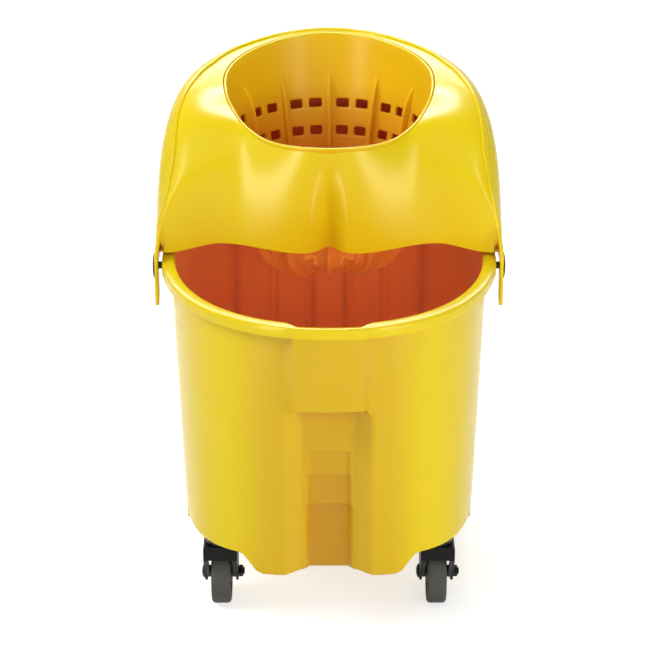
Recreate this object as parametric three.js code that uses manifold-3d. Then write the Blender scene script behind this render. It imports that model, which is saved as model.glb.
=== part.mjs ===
// Mop bucket on four casters with a tilting splash hood that carries a ribbed wringer cone.
// Millimetres, +Z up, the origin on the floor below the middle of the whole outline, -Y is the front.
import * as THREE from "three";
import { mergeVertices } from "three/addons/utils/BufferGeometryUtils.js";
import Module from "manifold-3d";

const wasm = await Module();
wasm.setup();

// Driving dimensions of the bucket.
const rimHalfWidth = 196.5;
const rimHalfDepth = 251;
const rimTop = 396;
const rimBandHeight = 14;
const rimBandWall = 3.5;
const rimStandOff = 10;
const rimFlangeWall = 4;
const bucketWall = 5;
const footClearance = 1.8;
const padReach = 49;
const padLead = 70;
const wallDraftShare = 0.05;
const rimRoundness = 2.2;
const baseRoundness = 3.4;

// Driving dimensions of the grip plate and the channels in the bucket's front and rear walls.
const gripHalfWidth = 52;
const gripFaceHalfWidth = 39;
const gripTaper = 7;
const gripSetBack = 0.6;
const gripHeight = 101;
const gripCheekDrop = 11;
const gripWall = 4;
const gripBackDepth = 10;
const recessHalfWidth = 49;
const recessFloorHalfWidth = 30;
const recessDepth = 16;
const channelHalfWidth = 21.5;
const channelSlopeShare = 0.65;
const channelStepDepth = 3;
const channelStepDrops = [148, 181, 218];
const rearRecessHalfWidth = 67;
const rearRecessDepth = 6;
const rearChannelDepth = 12;
const rearChannelDrop = 28;

// Driving dimensions of the hood.
const hoodOverhang = 8;
const hoodWall = 4;
const hoodFootRise = 4;
const hoodSkirtDrop = 11;
const hoodSkirtLag = 11.5;
const hoodRestGap = 0.4;
const hoodLedgeWidth = 15;
const hoodLedgeWall = 3.5;
const noseRise = 130;
const crestRise = 201.5;
const cornerLead = 12.5;
const bulgeLead = 16.5;
const bulgeHalfWidth = 30;
const valleyInset = 76.5;
const valleyRise = 10.5;
const cornerInset = 14.5;
const frontArchRise = 9;
const fluteDepth = 24;
const fluteHalfWidth = 15;
const fullnessPlaces = [0, 25, 50, 62, 72, 95, 125, 180];
const fullnessShares = [3, 2.2, 1.8, 1.9, 4.2, 6, 7.5, 8];
const cornerPowerShares = [120, 4];
const cornerFadeShares = [0.3, 1];
const rimRisePlaces = [0, 30, 40, 55, 71, 85, 105, 130, 145, 157, 180];
const rimRiseShares = [0, 0, 0.02, 0.14, 0.33, 0.56, 0.72, 0.84, 0.9, 0.95, 1];

// Driving dimensions of the hood's ears, the raised lip and the pivots.
const earWidth = 30;
const earWall = 4;
const earDrop = 50;
const earRise = 40;
const earTopWidth = 8;
const notchWidth = 6.2;
const notchRise = 19;
const lipWidth = 9;
const lipHeight = 3;
const lipSink = 5;
const lipPlaceShares = [0.0035, 0.0052, 0.0266, 0.051, 0.084, 0.142, 0.216, 0.299, 0.423, 0.67, 1];
const lipRiseShares = [0.03, 0.25, 0.354, 0.457, 0.53, 0.64, 0.75, 0.845, 0.925, 0.95, 0.955];
const pivotLead = 19.5;
const pivotDrop = 9;
const pinRadius = 4.3;
const pinClearance = 0.3;
const pinHeadRadius = 15;
const pinHeadHeight = 2.4;
const lugRadius = 14;
const lugStandIn = 1.2;
const retainerRadius = 9;
const retainerWall = 1.5;

// Driving dimensions of the wringer cone.
const coneRearRoom = 46.5;
const coneRadius = 111.5;
const coneRadiusRise = 115.7;
const coneSlopeShare = 0.1933;
const coneWall = 4;
const coneBowlDrop = 8;
const coneBowlHeight = 38;
const coneFloorRadius = 44;
const coneDrainRadius = 18;
const ribCount = 12;
const ribWidth = 5;
const ribHeight = 8;
const ribRise = 151;
const ribTipHeight = 12;
const holeRowPitch = 33.4;
const holeRowCount = 3;
const holeHeight = 11;
const holeWidth = 16;
const holeOffsetAngle = 6.3;
const slotWidth = 17;
const finHeight = 9;
const bowlBendShare = 0.72;

// Driving dimensions of a caster.
const casterSideInset = 69.5;
const casterEndInset = 93;
const casterTrail = 25;
const wheelRadius = 38.1;
const wheelWidth = 23;
const treadRadiusShare = 0.76;
const hubRadius = 13;
const axleRadius = 4.5;
const spacerRadius = 7.2;
const tyreEdge = 4;
const webWidthShare = 0.55;
const wheelSideRoom = 5.35;
const wheelTopRoom = 11.8;
const forkWall = 3;
const forkFrontDrop = 18;
const forkReach = 18;
const forkEndRadius = 11;
const forkEndArcShares = [1.08, 2.03];
const forkBackShare = 1.3;
const forkShoulderShare = 0.55;
const stemRadius = 5.5;
const stemLength = 32;
const stemHeadRadius = 9;
const stemHeadHeight = 3;
const collarRadius = 13;
const collarHeight = 3;
const bearingRoom = 12;
const bearingRadius = 17;
const bearingShoulderShare = 0.7;
const bearingTopShare = 0.9;
const boltHeadRadius = 8.5;
const boltHeadHeight = 3.5;
const nutRadius = 7;
const nutHeight = 5;
const socketWall = 4.5;
const gap = 0.3;
const runningGap = 0.6;
const overrun = 20;

// Places that follow from the driving dimensions: the casters, the bucket's floor and its grip plate.
const forkWidth = wheelWidth + (forkWall + wheelSideRoom) * 2;
const forkTop = wheelRadius * 2 + wheelTopRoom + forkWall;
const padHeight = forkTop + bearingRoom;
const footHeight = wheelRadius * 2 + footClearance;
const casterHalfTrack = rimHalfWidth - casterSideInset;
const casterHalfBase = rimHalfDepth - casterEndInset;
const padInnerEdge = casterHalfTrack - padReach;
const padStart = casterHalfBase - padLead;
const gripFaceDepth = rimHalfDepth - gripSetBack;
const gripBottom = rimTop - gripHeight;
const channelStepTops = channelStepDrops.map((drop) => rimTop - drop);
const rearChannelTop = rimTop - rearChannelDrop;

// Places that follow from them on the hood: it overhangs the rim, and its front is set out from the cone.
const hoodHalfWidth = rimHalfWidth + hoodOverhang;
const hoodRearDepth = rimHalfDepth + hoodOverhang;
const coneDepth = hoodRearDepth - coneRearRoom - coneRadius;
const bulgeLine = coneDepth - coneRadius - bulgeLead;
const cornerLine = coneDepth - coneRadius - cornerLead;
const pivotDepth = coneDepth - coneRadius - pivotLead;
const valleyHalfWidth = hoodHalfWidth - valleyInset;
const cornerHalfWidth = hoodHalfWidth - cornerInset;
const hoodWallFoot = rimTop + hoodFootRise;
const hoodSkirtFoot = rimTop - hoodSkirtDrop;
const hoodSkirtStart = cornerLine + hoodSkirtLag;
const noseHeight = rimTop + noseRise;
const crestHeight = rimTop + crestRise;
const pivotHeight = rimTop - pivotDrop;
const earFoot = pivotHeight - earDrop;
const earTop = rimTop + earRise;
const notchTop = rimTop + notchRise;
const coneRadiusHeight = rimTop + coneRadiusRise;
const coneBowlTop = rimTop - coneBowlDrop;
const coneFloor = coneBowlTop - coneBowlHeight;
const ribTop = rimTop + ribRise;

// The lugs that hold the pivots reach from inside the rim's band, where the pivots are, to its widest place.
const pivotShare = (Math.abs(pivotDepth) / rimHalfDepth) ** rimRoundness;
const rimWidthAtPivot = rimHalfWidth * (1 - pivotShare) ** (1 / rimRoundness);
const lugInside = rimWidthAtPivot - rimBandWall - lugStandIn;

// Materials.
const yellow = new THREE.MeshStandardMaterial({ color: 0xe9cf1c, roughness: 0.35, metalness: 0 });
const orange = new THREE.MeshStandardMaterial({ color: 0xe3a92c, roughness: 0.4, metalness: 0 });
const blackSteel = new THREE.MeshStandardMaterial({ color: 0x16161a, roughness: 0.45, metalness: 0.6 });
const zincSteel = new THREE.MeshStandardMaterial({ color: 0x5a5a5e, roughness: 0.4, metalness: 0.9 });
const greyRubber = new THREE.MeshStandardMaterial({ color: 0x585853, roughness: 0.7, metalness: 0 });
const darkPlastic = new THREE.MeshStandardMaterial({ color: 0x2b2b2d, roughness: 0.6, metalness: 0 });
const bronze = new THREE.MeshStandardMaterial({ color: 0x3a2c1c, roughness: 0.4, metalness: 0.7 });

// Turns a closed geometry into a solid whose faces point outwards.
function solidOf(geometry) {
  const bare = geometry.index ? geometry.toNonIndexed() : geometry.clone();
  for (const name of Object.keys(bare.attributes)) {
    if (name !== "position") bare.deleteAttribute(name);
  }
  const merged = mergeVertices(bare, 1e-4);
  const triangles = new Uint32Array(merged.index.array);
  const build = (triVerts) =>
    new wasm.Manifold(
      new wasm.Mesh({ numProp: 3, vertProperties: merged.attributes.position.array, triVerts }),
    );
  const made = build(triangles);
  return made.volume() < 0 ? build(triangles.reverse()) : made;
}

// Turns a solid into a named mesh.
function meshOf(name, solid, material) {
  const data = solid.getMesh();
  const geometry = new THREE.BufferGeometry();
  const places = new Float32Array(data.numVert * 3);
  for (let i = 0; i < data.numVert; i++) {
    places.set(data.vertProperties.subarray(i * data.numProp, i * data.numProp + 3), i * 3);
  }
  geometry.setAttribute("position", new THREE.BufferAttribute(places, 3));
  geometry.setIndex(new THREE.BufferAttribute(new Uint32Array(data.triVerts), 1));
  geometry.computeVertexNormals();
  const mesh = new THREE.Mesh(geometry, material);
  mesh.name = name;
  return mesh;
}

// A closed solid through a stack of rings with equally many points, with a fan over each end.
function loft(rings) {
  const count = rings[0].length;
  const places = rings.flat().flatMap((p) => [p.x, p.y, p.z]);
  const triangles = [];
  for (let i = 0; i + 1 < rings.length; i++) {
    for (let j = 0; j < count; j++) {
      const next = (j + 1) % count;
      const [a, b] = [i * count + j, i * count + next];
      const [c, d] = [a + count, b + count];
      triangles.push(a, b, d, a, d, c);
    }
  }
  const fan = (ring, first, turned) => {
    const middle = ring.reduce((sum, p) => sum.add(p), new THREE.Vector3()).divideScalar(count);
    const hub = places.length / 3;
    places.push(middle.x, middle.y, middle.z);
    for (let j = 0; j < count; j++) {
      const [a, b] = [first + j, first + ((j + 1) % count)];
      triangles.push(...(turned ? [hub, b, a] : [hub, a, b]));
    }
  };
  fan(rings[0], 0, true);
  fan(rings[rings.length - 1], (rings.length - 1) * count, false);
  const geometry = new THREE.BufferGeometry();
  geometry.setAttribute("position", new THREE.Float32BufferAttribute(places, 3));
  geometry.setIndex(triangles);
  return solidOf(geometry);
}

// A box between two corners.
function boxBetween(low, high) {
  const geometry = new THREE.BoxGeometry(high[0] - low[0], high[1] - low[1], high[2] - low[2]);
  const middle = low.map((value, i) => (value + high[i]) / 2);
  return solidOf(geometry.translate(...middle));
}

// A body of revolution about +Z from a closed profile of [radius, height] points.
function turned(profile, sides) {
  const points = profile.map(([radius, height]) => new THREE.Vector2(radius, height));
  return solidOf(new THREE.LatheGeometry(points, sides).rotateX(Math.PI / 2));
}

// A dome over a round face, as shares of its radius and of its height.
const domeShares = [
  [1, 0],
  [0.7, 0.75],
  [0, 1],
];
const domeOver = (radius, base, height) =>
  domeShares.map(([across, up]) => [radius * across, base + height * up]);

// A round bar about an axis through a place.
function bar(radius, from, to, axis, place, sides) {
  const geometry = new THREE.CylinderGeometry(radius, radius, to - from, sides);
  geometry.translate(0, (from + to) / 2, 0);
  if (axis === "x") geometry.rotateZ(-Math.PI / 2);
  if (axis === "z") geometry.rotateX(Math.PI / 2);
  return solidOf(geometry.translate(...place));
}

const degrees = (angle) => (angle * Math.PI) / 180;
const mix = (a, b, share) => a + (b - a) * share;

function ease(from, to, value) {
  const share = Math.min(Math.max((value - from) / (to - from), 0), 1);
  return share * share * (3 - 2 * share);
}

function lookUp(places, values, place) {
  let i = 1;
  while (i < places.length - 1 && places[i] < place) i++;
  const share = Math.min(Math.max((place - places[i - 1]) / (places[i] - places[i - 1]), 0), 1);
  return mix(values[i - 1], values[i], share);
}

// A superellipse ring at one height: a round-cornered oval with the given half width and half depth.
function ovalRing(halfWidth, halfDepth, roundness, height, sides) {
  return Array.from({ length: sides }, (_, j) => {
    const angle = (2 * Math.PI * j) / sides;
    const [s, c] = [Math.sin(angle), Math.cos(angle)];
    return new THREE.Vector3(
      halfWidth * Math.sign(c) * Math.abs(c) ** (2 / roundness),
      halfDepth * Math.sign(s) * Math.abs(s) ** (2 / roundness),
      height,
    );
  });
}

const bucketSides = 40;

// The bucket's oval at a height, drawn in from its outer wall by an inset.
function bucketRing(height, inset) {
  const draft = wallDraftShare * (rimTop - height);
  const halfWidth = rimHalfWidth - rimStandOff - draft - inset;
  const halfDepth = rimHalfDepth - rimStandOff - draft - inset;
  const roundness = mix(baseRoundness, rimRoundness, (height - footHeight) / (rimTop - footHeight));
  return ovalRing(halfWidth, halfDepth, roundness, height, bucketSides);
}

function bucketBody(bottom, top, inset) {
  const levels = 2;
  const heights = Array.from({ length: levels + 1 }, (_, i) => mix(bottom, top, i / levels));
  return loft(heights.map((height) => bucketRing(height, inset)));
}

// The outer wall's distance in front of the middle at a height.
const wallDepth = (height) => rimHalfDepth - rimStandOff - wallDraftShare * (rimTop - height);

// The recess with sloping flanks in the front wall; grow adds the wall that follows it inside.
function frontRecess(top, grow) {
  const outer = -(rimHalfDepth + overrun);
  const ring = (height) => {
    const wall = -wallDepth(height);
    const floor = wall + recessDepth + grow;
    const half = recessHalfWidth + grow;
    const halfFloor = recessFloorHalfWidth + grow;
    return [
      new THREE.Vector3(-half, outer, height),
      new THREE.Vector3(half, outer, height),
      new THREE.Vector3(half, wall, height),
      new THREE.Vector3(halfFloor, floor, height),
      new THREE.Vector3(-halfFloor, floor, height),
      new THREE.Vector3(-half, wall, height),
    ];
  };
  return loft([ring(footHeight - overrun), ring(top)]);
}

// The recess and, in its floor, the channel that deepens by steps towards the bucket's foot.
function frontChannel(top, grow) {
  const outer = -(rimHalfDepth + overrun);
  let channel = frontRecess(top, grow);
  channelStepTops.forEach((stepTop, i) => {
    const depth = recessDepth + channelStepDepth * (i + 1) + grow;
    const half = channelHalfWidth + grow;
    const stepRing = (height) => {
      const floor = -wallDepth(height) + depth;
      const spread = (floor - outer) * channelSlopeShare;
      return [
        new THREE.Vector3(-half - spread, outer, height),
        new THREE.Vector3(half + spread, outer, height),
        new THREE.Vector3(half, floor, height),
        new THREE.Vector3(-half, floor, height),
      ];
    };
    channel = channel.add(loft([stepRing(footHeight - overrun), stepRing(stepTop + grow)]));
  });
  return channel;
}

// The shallow recess and channel in the rear wall.
function rearChannel(grow) {
  const low = footHeight - overrun;
  const top = rearChannelTop + grow;
  const step = (halfWidth, depth) => {
    const ring = (height) => {
      const floor = wallDepth(height) - depth - grow;
      return [
        new THREE.Vector3(-halfWidth - grow, floor, height),
        new THREE.Vector3(halfWidth + grow, floor, height),
        new THREE.Vector3(halfWidth + depth + grow, rimHalfDepth + overrun, height),
        new THREE.Vector3(-halfWidth - depth - grow, rimHalfDepth + overrun, height),
      ];
    };
    return loft([ring(low), ring(top)]);
  };
  return step(rearRecessHalfWidth, rearRecessDepth).add(step(channelHalfWidth, rearChannelDepth));
}

// The raised corners under the bucket that make room for the casters.
function casterWells(grow) {
  const inner = padInnerEdge - grow;
  const slope = padHeight - footHeight;
  const outline = [
    [inner - slope, footHeight - slope],
    [rimHalfWidth + overrun, footHeight - slope],
    [rimHalfWidth + overrun, padHeight + grow],
    [inner + slope, padHeight + grow],
  ];
  const start = padStart - grow;
  let wells = null;
  for (const side of [1, -1]) {
    for (const end of [1, -1]) {
      const shape = new THREE.Shape(outline.map(([x, z]) => new THREE.Vector2(x, z)));
      const depth = rimHalfDepth + overrun - start;
      const geometry = new THREE.ExtrudeGeometry(shape, { depth, bevelEnabled: false });
      geometry.translate(0, 0, start);
      geometry.rotateX(Math.PI / 2);
      geometry.scale(side, end, 1);
      const well = solidOf(geometry);
      wells = wells ? wells.add(well) : well;
    }
  }
  return wells;
}

// The boxed grip plate under the front rim; inset makes the hollow behind it.
function gripPlate(inset, bottom, top) {
  const ring = (height) => {
    const taper = (gripTaper * (rimTop - height)) / (rimTop - gripBottom);
    const half = gripHalfWidth - taper - inset;
    const halfFace = gripFaceHalfWidth - inset;
    const back = -wallDepth(height) + gripBackDepth;
    return [
      new THREE.Vector3(-halfFace, -gripFaceDepth + inset, height),
      new THREE.Vector3(halfFace, -gripFaceDepth + inset, height),
      new THREE.Vector3(half, -wallDepth(height), height),
      new THREE.Vector3(half, back, height),
      new THREE.Vector3(-half, back, height),
      new THREE.Vector3(-half, -wallDepth(height), height),
    ];
  };
  return loft([ring(bottom), ring(top)]);
}

// The places of the four caster stems.
const casterPlaces = [
  ["front_left", -casterHalfTrack, -casterHalfBase],
  ["front_right", casterHalfTrack, -casterHalfBase],
  ["rear_left", -casterHalfTrack, casterHalfBase],
  ["rear_right", casterHalfTrack, casterHalfBase],
];

const pivotPlace = [0, pivotDepth, pivotHeight];
const stemSides = 12;
const pinSides = 16;

// The two ends of a stretch along X on one side of the middle, the lower one first.
const between = (side, near, far) => (side > 0 ? [near, far] : [-far, -near]);

function makeBucket() {
  const rimBottom = rimTop - rimBandHeight;
  const flangeBottom = rimTop - rimFlangeWall;
  const ring = (inset, height) =>
    ovalRing(rimHalfWidth - inset, rimHalfDepth - inset, rimRoundness, height, bucketSides);
  const rim = loft([ring(0, rimBottom), ring(0, rimTop)]);
  const underRim = loft([ring(rimBandWall, rimBottom - overrun), ring(rimBandWall, flangeBottom)]);
  const wells = casterWells(bucketWall);
  const solid = bucketBody(footHeight, rimTop, 0).add(gripPlate(0, gripBottom - gripCheekDrop, rimTop));
  const hollow = bucketBody(footHeight + bucketWall, rimTop + overrun, bucketWall)
    .subtract(frontChannel(gripBottom + bucketWall, bucketWall))
    .subtract(rearChannel(bucketWall))
    .subtract(wells)
    .add(gripPlate(gripWall, gripBottom + gripWall, rimTop + overrun));
  const underFace = boxBetween(
    [-gripFaceHalfWidth, -rimHalfDepth - overrun, gripBottom - gripCheekDrop - overrun],
    [gripFaceHalfWidth, 0, gripBottom],
  );
  const finger = frontRecess(gripBottom + overrun, 0).intersect(underFace);
  let shell = solid
    .subtract(frontChannel(gripBottom - gripCheekDrop, 0))
    .subtract(rearChannel(0))
    .subtract(casterWells(0))
    .subtract(finger)
    .add(rim.subtract(underRim));
  const reach = rimHalfWidth + overrun;
  const aboveRim = boxBetween([-reach, -reach, rimTop], [reach, reach, rimTop + overrun]);
  for (const side of [1, -1]) {
    const [from, to] = between(side, lugInside, rimHalfWidth);
    shell = shell.add(bar(lugRadius, from, to, "x", pivotPlace, 24).subtract(aboveRim));
  }
  let bucket = shell.subtract(hollow.subtract(casterSockets()));
  for (const [, x, y] of casterPlaces) {
    const top = padHeight + stemLength + gap;
    const hole = bar(stemRadius + gap, padHeight - overrun, top, "z", [x, y, 0], stemSides);
    bucket = bucket.subtract(hole);
  }
  for (const side of [1, -1]) {
    const [from, to] = between(side, lugInside - retainerWall * 2 - pinClearance, reach);
    bucket = bucket.subtract(bar(pinRadius + pinClearance, from, to, "x", pivotPlace, pinSides));
  }
  return bucket;
}

// The bosses on the bucket's floor that hold the caster stems.
function casterSockets() {
  return casterPlaces
    .map(([, x, y]) => {
      const top = padHeight + stemLength + socketWall;
      return bar(stemRadius + socketWall, padHeight - bucketWall, top, "z", [x, y, 0], stemSides);
    })
    .reduce((all, one) => all.add(one));
}

// The hood is a surface about the cone's axis: an angle from the front and a share of the climb.
const cornerAngle = (Math.atan2(hoodHalfWidth, coneDepth - cornerLine) * 180) / Math.PI;
const frontShares = [0, 0.068, 0.136, 0.221, 0.34, 0.476, 0.63, 0.783, 0.902, 0.97, 1];
const rearShares = [0.027, 0.076, 0.142, 0.225, 0.315, 0.423, 0.538, 0.654, 0.769, 0.885, 1];
const hoodAngles = [
  ...frontShares.map((share) => cornerAngle * share),
  ...rearShares.map((share) => cornerAngle + (180 - cornerAngle) * share),
];
const hoodSteps = 6;

// The hood's front in plan: a bulge round the cone, a shallow valley on each side, the corners forward.
function frontLine(x) {
  const rise = valleyRise * ease(bulgeHalfWidth, valleyHalfWidth, x);
  const fall = (bulgeLine + valleyRise - cornerLine) * ease(valleyHalfWidth, cornerHalfWidth, x);
  return bulgeLine + rise - fall;
}

// How far from the cone's axis a line at an angle stays inside an outline in plan, found by halving.
function reachInside(angle, inside) {
  const [s, c] = [Math.sin(angle), Math.cos(angle)];
  let low = 0;
  let high = (hoodHalfWidth + hoodRearDepth) * 2;
  for (let i = 0; i < 40; i++) {
    const middle = (low + high) / 2;
    if (inside(Math.abs(middle * s), coneDepth - middle * c)) low = middle;
    else high = middle;
  }
  return low;
}

// The hood's oval and its front line in plan, joined at a corner that is round where the power is low.
function hoodPlanRadius(angle, inset, power) {
  const inOval = (x, y) =>
    (x / (hoodHalfWidth - inset)) ** rimRoundness +
      (Math.abs(y) / (hoodRearDepth - inset)) ** rimRoundness <
    1;
  const oval = reachInside(angle, inOval);
  const front = reachInside(angle, (x, y) => y > frontLine(x) + inset);
  return oval * (1 + (oval / front) ** power) ** (-1 / power);
}

const coneInnerRadius = (height) => coneRadius + (height - coneRadiusHeight) * coneSlopeShare;

// The height of the hood's opening at an angle from the front.
const openingHeight = (turn) =>
  mix(noseHeight, crestHeight, lookUp(rimRisePlaces, rimRiseShares, turn));

function hoodPoint(angleDegrees, share, inset) {
  const turn = Math.abs(angleDegrees);
  const angle = degrees(turn);
  const fullness = lookUp(fullnessPlaces, fullnessShares, turn);
  const top = openingHeight(turn) - inset;
  const inner = coneInnerRadius(top);
  const swing = (share * Math.PI) / 2;
  const climb = Math.sin(swing) ** (2 / fullness);
  const inward = 1 - Math.cos(swing) ** (2 / fullness);
  const [sharp, soft] = cornerPowerShares;
  const outer = hoodPlanRadius(angle, inset, sharp * (soft / sharp) ** ease(...cornerFadeShares, climb));
  const across = turn < 90 ? outer * Math.sin(angle) : outer;
  const flute = fluteDepth * Math.exp(-((across / fluteHalfWidth) ** 2)) * (1 - climb);
  const radius = mix(outer, inner, inward) - flute;
  const height = mix(hoodWallFoot, top, climb);
  const side = Math.sign(angleDegrees) || 1;
  return new THREE.Vector3(
    side * radius * Math.sin(angle),
    coneDepth - radius * Math.cos(angle),
    height,
  );
}

// The hood's solid from its foot to its opening, drawn in by an inset.
function hoodBody(inset, foot) {
  const turns = [...hoodAngles, ...hoodAngles.slice(1, -1).reverse().map((angle) => -angle)];
  const rings = [turns.map((angle) => hoodPoint(angle, 0, inset).setZ(foot))];
  for (let i = 0; i <= hoodSteps; i++) {
    rings.push(turns.map((angle) => hoodPoint(angle, i / hoodSteps, inset)));
  }
  return loft(rings);
}

// The raised lip along the hood's shoulders, from ear to ear over the back.
function hoodLip() {
  const half = lipPlaceShares.map((share, i) => [
    mix(cornerAngle, 180, share),
    lipRiseShares[i],
  ]);
  const left = half.map(([angle, rise]) => [-angle, rise]);
  const route = [...left, ...half.slice(0, -1).reverse()];
  const places = route.map(([angle, rise]) => hoodPoint(angle, rise, 0));
  const middle = new THREE.Vector3(0, coneDepth, hoodWallFoot);
  const section = [
    [-1, -lipSink],
    [1, -lipSink],
    [1, 0],
    [1 / 2, lipHeight],
    [-1 / 2, lipHeight],
    [-1, 0],
  ];
  const rings = places.map((here, i) => {
    const before = places[Math.max(i - 1, 0)];
    const after = places[Math.min(i + 1, places.length - 1)];
    const along = after.clone().sub(before).normalize();
    const outward = here.clone().sub(middle).normalize();
    const across = new THREE.Vector3().crossVectors(along, outward).normalize();
    return section.map(([aside, up]) =>
      here
        .clone()
        .addScaledVector(across, (aside * lipWidth) / 2)
        .addScaledVector(outward, up),
    );
  });
  return loft(rings);
}

// One ear: a flat strip with a round foot that hangs outside the bucket's rim and holds the pivot.
function hoodEar(side) {
  const radius = earWidth / 2;
  const footMiddle = earFoot + radius;
  const outline = [];
  const arcSteps = 8;
  for (let i = 0; i <= arcSteps; i++) {
    const angle = Math.PI + (Math.PI * i) / arcSteps;
    outline.push([pivotDepth + radius * Math.cos(angle), footMiddle + radius * Math.sin(angle)]);
  }
  outline.push([pivotDepth + radius, notchTop]);
  outline.push([pivotDepth + earWidth, earTop]);
  outline.push([pivotDepth + earTopWidth, earTop]);
  outline.push([pivotDepth - radius, hoodWallFoot]);
  const shape = new THREE.Shape(outline.map(([y, z]) => new THREE.Vector2(y, z)));
  const geometry = new THREE.ExtrudeGeometry(shape, { depth: earWall, bevelEnabled: false });
  geometry.rotateY(Math.PI / 2);
  geometry.rotateX(Math.PI / 2);
  geometry.translate(hoodHalfWidth - earWall, 0, 0);
  if (side < 0) geometry.scale(-1, 1, 1);
  return solidOf(geometry);
}

function coneProfile(grow) {
  const outer = (height) => coneInnerRadius(height) + coneWall + grow;
  const top = crestHeight + overrun;
  const steps = 3;
  const bowl = [];
  for (let i = 0; i <= steps; i++) {
    const angle = (Math.PI / 2) * (i / steps);
    const reach = outer(coneBowlTop) - coneFloorRadius;
    bowl.push([
      coneFloorRadius + reach * Math.sin(angle),
      coneFloor - grow + (coneBowlTop - coneFloor) * (1 - Math.cos(angle)),
    ]);
  }
  return { outer, top, bowl };
}

// Everything inside the wringer cone's outer surface, grown by a clearance.
function coneEnvelope(grow, sides) {
  const { outer, top, bowl } = coneProfile(grow);
  return turned([[0, coneFloor - grow], ...bowl, [outer(top), top], [0, top]], sides).translate([
    0,
    coneDepth,
    0,
  ]);
}

const coneSides = 24;

// The ledge inside the hood's foot, which rests on the bucket's rim.
function hoodLedge() {
  const low = rimTop + hoodRestGap;
  const ring = (inset, height) =>
    ovalRing(hoodHalfWidth - inset, hoodRearDepth - inset, rimRoundness, height, bucketSides);
  const block = loft([ring(hoodWall / 2, low), ring(hoodWall / 2, low + hoodLedgeWall)]);
  const inner = hoodWall + hoodLedgeWidth;
  const inside = loft([ring(inner, low - overrun), ring(inner, low + overrun)]);
  const front = boxBetween(
    [-hoodHalfWidth, -hoodRearDepth - overrun, low - overrun],
    [hoodHalfWidth, hoodSkirtStart, low + overrun],
  );
  return block.subtract(inside).subtract(front);
}

// The room under the arched lower edge of the hood's front, on both sides of the bulge.
function frontArch() {
  const steps = 4;
  const outline = [];
  for (let i = 0; i <= steps * 2; i++) {
    const share = i / steps;
    const across =
      share < 1
        ? mix(bulgeHalfWidth, valleyHalfWidth, share)
        : mix(valleyHalfWidth, cornerHalfWidth, share - 1);
    const rise = ease(0, 1, share) - ease(1, 2, share);
    outline.push([across, hoodWallFoot + frontArchRise * rise]);
  }
  outline.push([cornerHalfWidth, hoodWallFoot - overrun], [bulgeHalfWidth, hoodWallFoot - overrun]);
  const shape = new THREE.Shape(outline.map(([x, z]) => new THREE.Vector2(x, z)));
  const depth = hoodSkirtStart + hoodRearDepth;
  const side = new THREE.ExtrudeGeometry(shape, { depth, bevelEnabled: false })
    .rotateX(Math.PI / 2)
    .translate(0, hoodSkirtStart, 0);
  return solidOf(side.clone()).add(solidOf(side.scale(-1, 1, 1)));
}

function makeHood() {
  const reach = hoodHalfWidth + overrun;
  const skirtInside = hoodHalfWidth - earWall - gap;
  const under = hoodSkirtFoot - overrun;
  const frontEnd = bulgeLine + valleyRise + hoodLedgeWidth * 2;
  let hood = hoodBody(0, hoodSkirtFoot)
    .add(hoodLip())
    .subtract(hoodBody(hoodWall, under))
    .subtract(boxBetween([-reach, -hoodRearDepth, under], [reach, hoodSkirtStart, hoodWallFoot]))
    .subtract(
      boxBetween([-skirtInside, -hoodRearDepth, under], [skirtInside, frontEnd, hoodWallFoot]),
    )
    .subtract(frontArch())
    .add(hoodLedge());
  for (const side of [1, -1]) {
    const [from, to] = between(side, skirtInside - notchWidth, skirtInside);
    const notch = boxBetween(
      [from, pivotDepth - earWidth, under],
      [to, pivotDepth + earWidth, notchTop],
    );
    const [low, high] = between(side, 0, reach);
    hood = hood
      .subtract(notch)
      .add(hoodEar(side))
      .subtract(bar(pinRadius + pinClearance, low, high, "x", pivotPlace, pinSides));
  }
  return hood.subtract(coneEnvelope(gap, coneSides));
}

// A radial slab about the cone's axis: a profile in the plane of an angle, given a thickness.
function radialSlab(profile, thickness, angleDegrees) {
  const shape = new THREE.Shape(profile.map(([r, z]) => new THREE.Vector2(r, z)));
  const geometry = new THREE.ExtrudeGeometry(shape, { depth: thickness, bevelEnabled: false });
  geometry.translate(0, 0, -thickness / 2);
  geometry.rotateX(Math.PI / 2);
  geometry.rotateZ(degrees(angleDegrees) - Math.PI / 2);
  geometry.translate(0, coneDepth, 0);
  return solidOf(geometry);
}

// The profile of one rib with its fin: the rib stands inside the wall and the fin outside the bowl.
function ribProfile(turn) {
  const tip = Math.min(ribTop, openingHeight(turn) - ribTipHeight);
  const wallMiddle = (height) => coneInnerRadius(height) + coneWall / 2;
  const bowlMiddle = mix(coneFloorRadius, wallMiddle(coneBowlTop), bowlBendShare);
  return [
    [wallMiddle(tip), tip],
    [coneInnerRadius(tip) - ribHeight, tip - ribTipHeight],
    [coneInnerRadius(coneBowlTop) - ribHeight, coneBowlTop],
    [coneFloorRadius, coneFloor + coneWall + ribHeight],
    [coneFloorRadius - ribHeight, coneFloor + coneWall / 2],
    [coneFloorRadius - ribHeight, coneFloor - finHeight],
    [coneFloorRadius + finHeight, coneFloor - finHeight],
    [bowlMiddle + finHeight, mix(coneFloor, coneBowlTop, 1 - bowlBendShare) - finHeight / 2],
    [wallMiddle(coneBowlTop) + finHeight, coneBowlTop - finHeight / 2],
    [wallMiddle(coneBowlTop + finHeight * 2), coneBowlTop + finHeight * 2],
  ];
}

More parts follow.
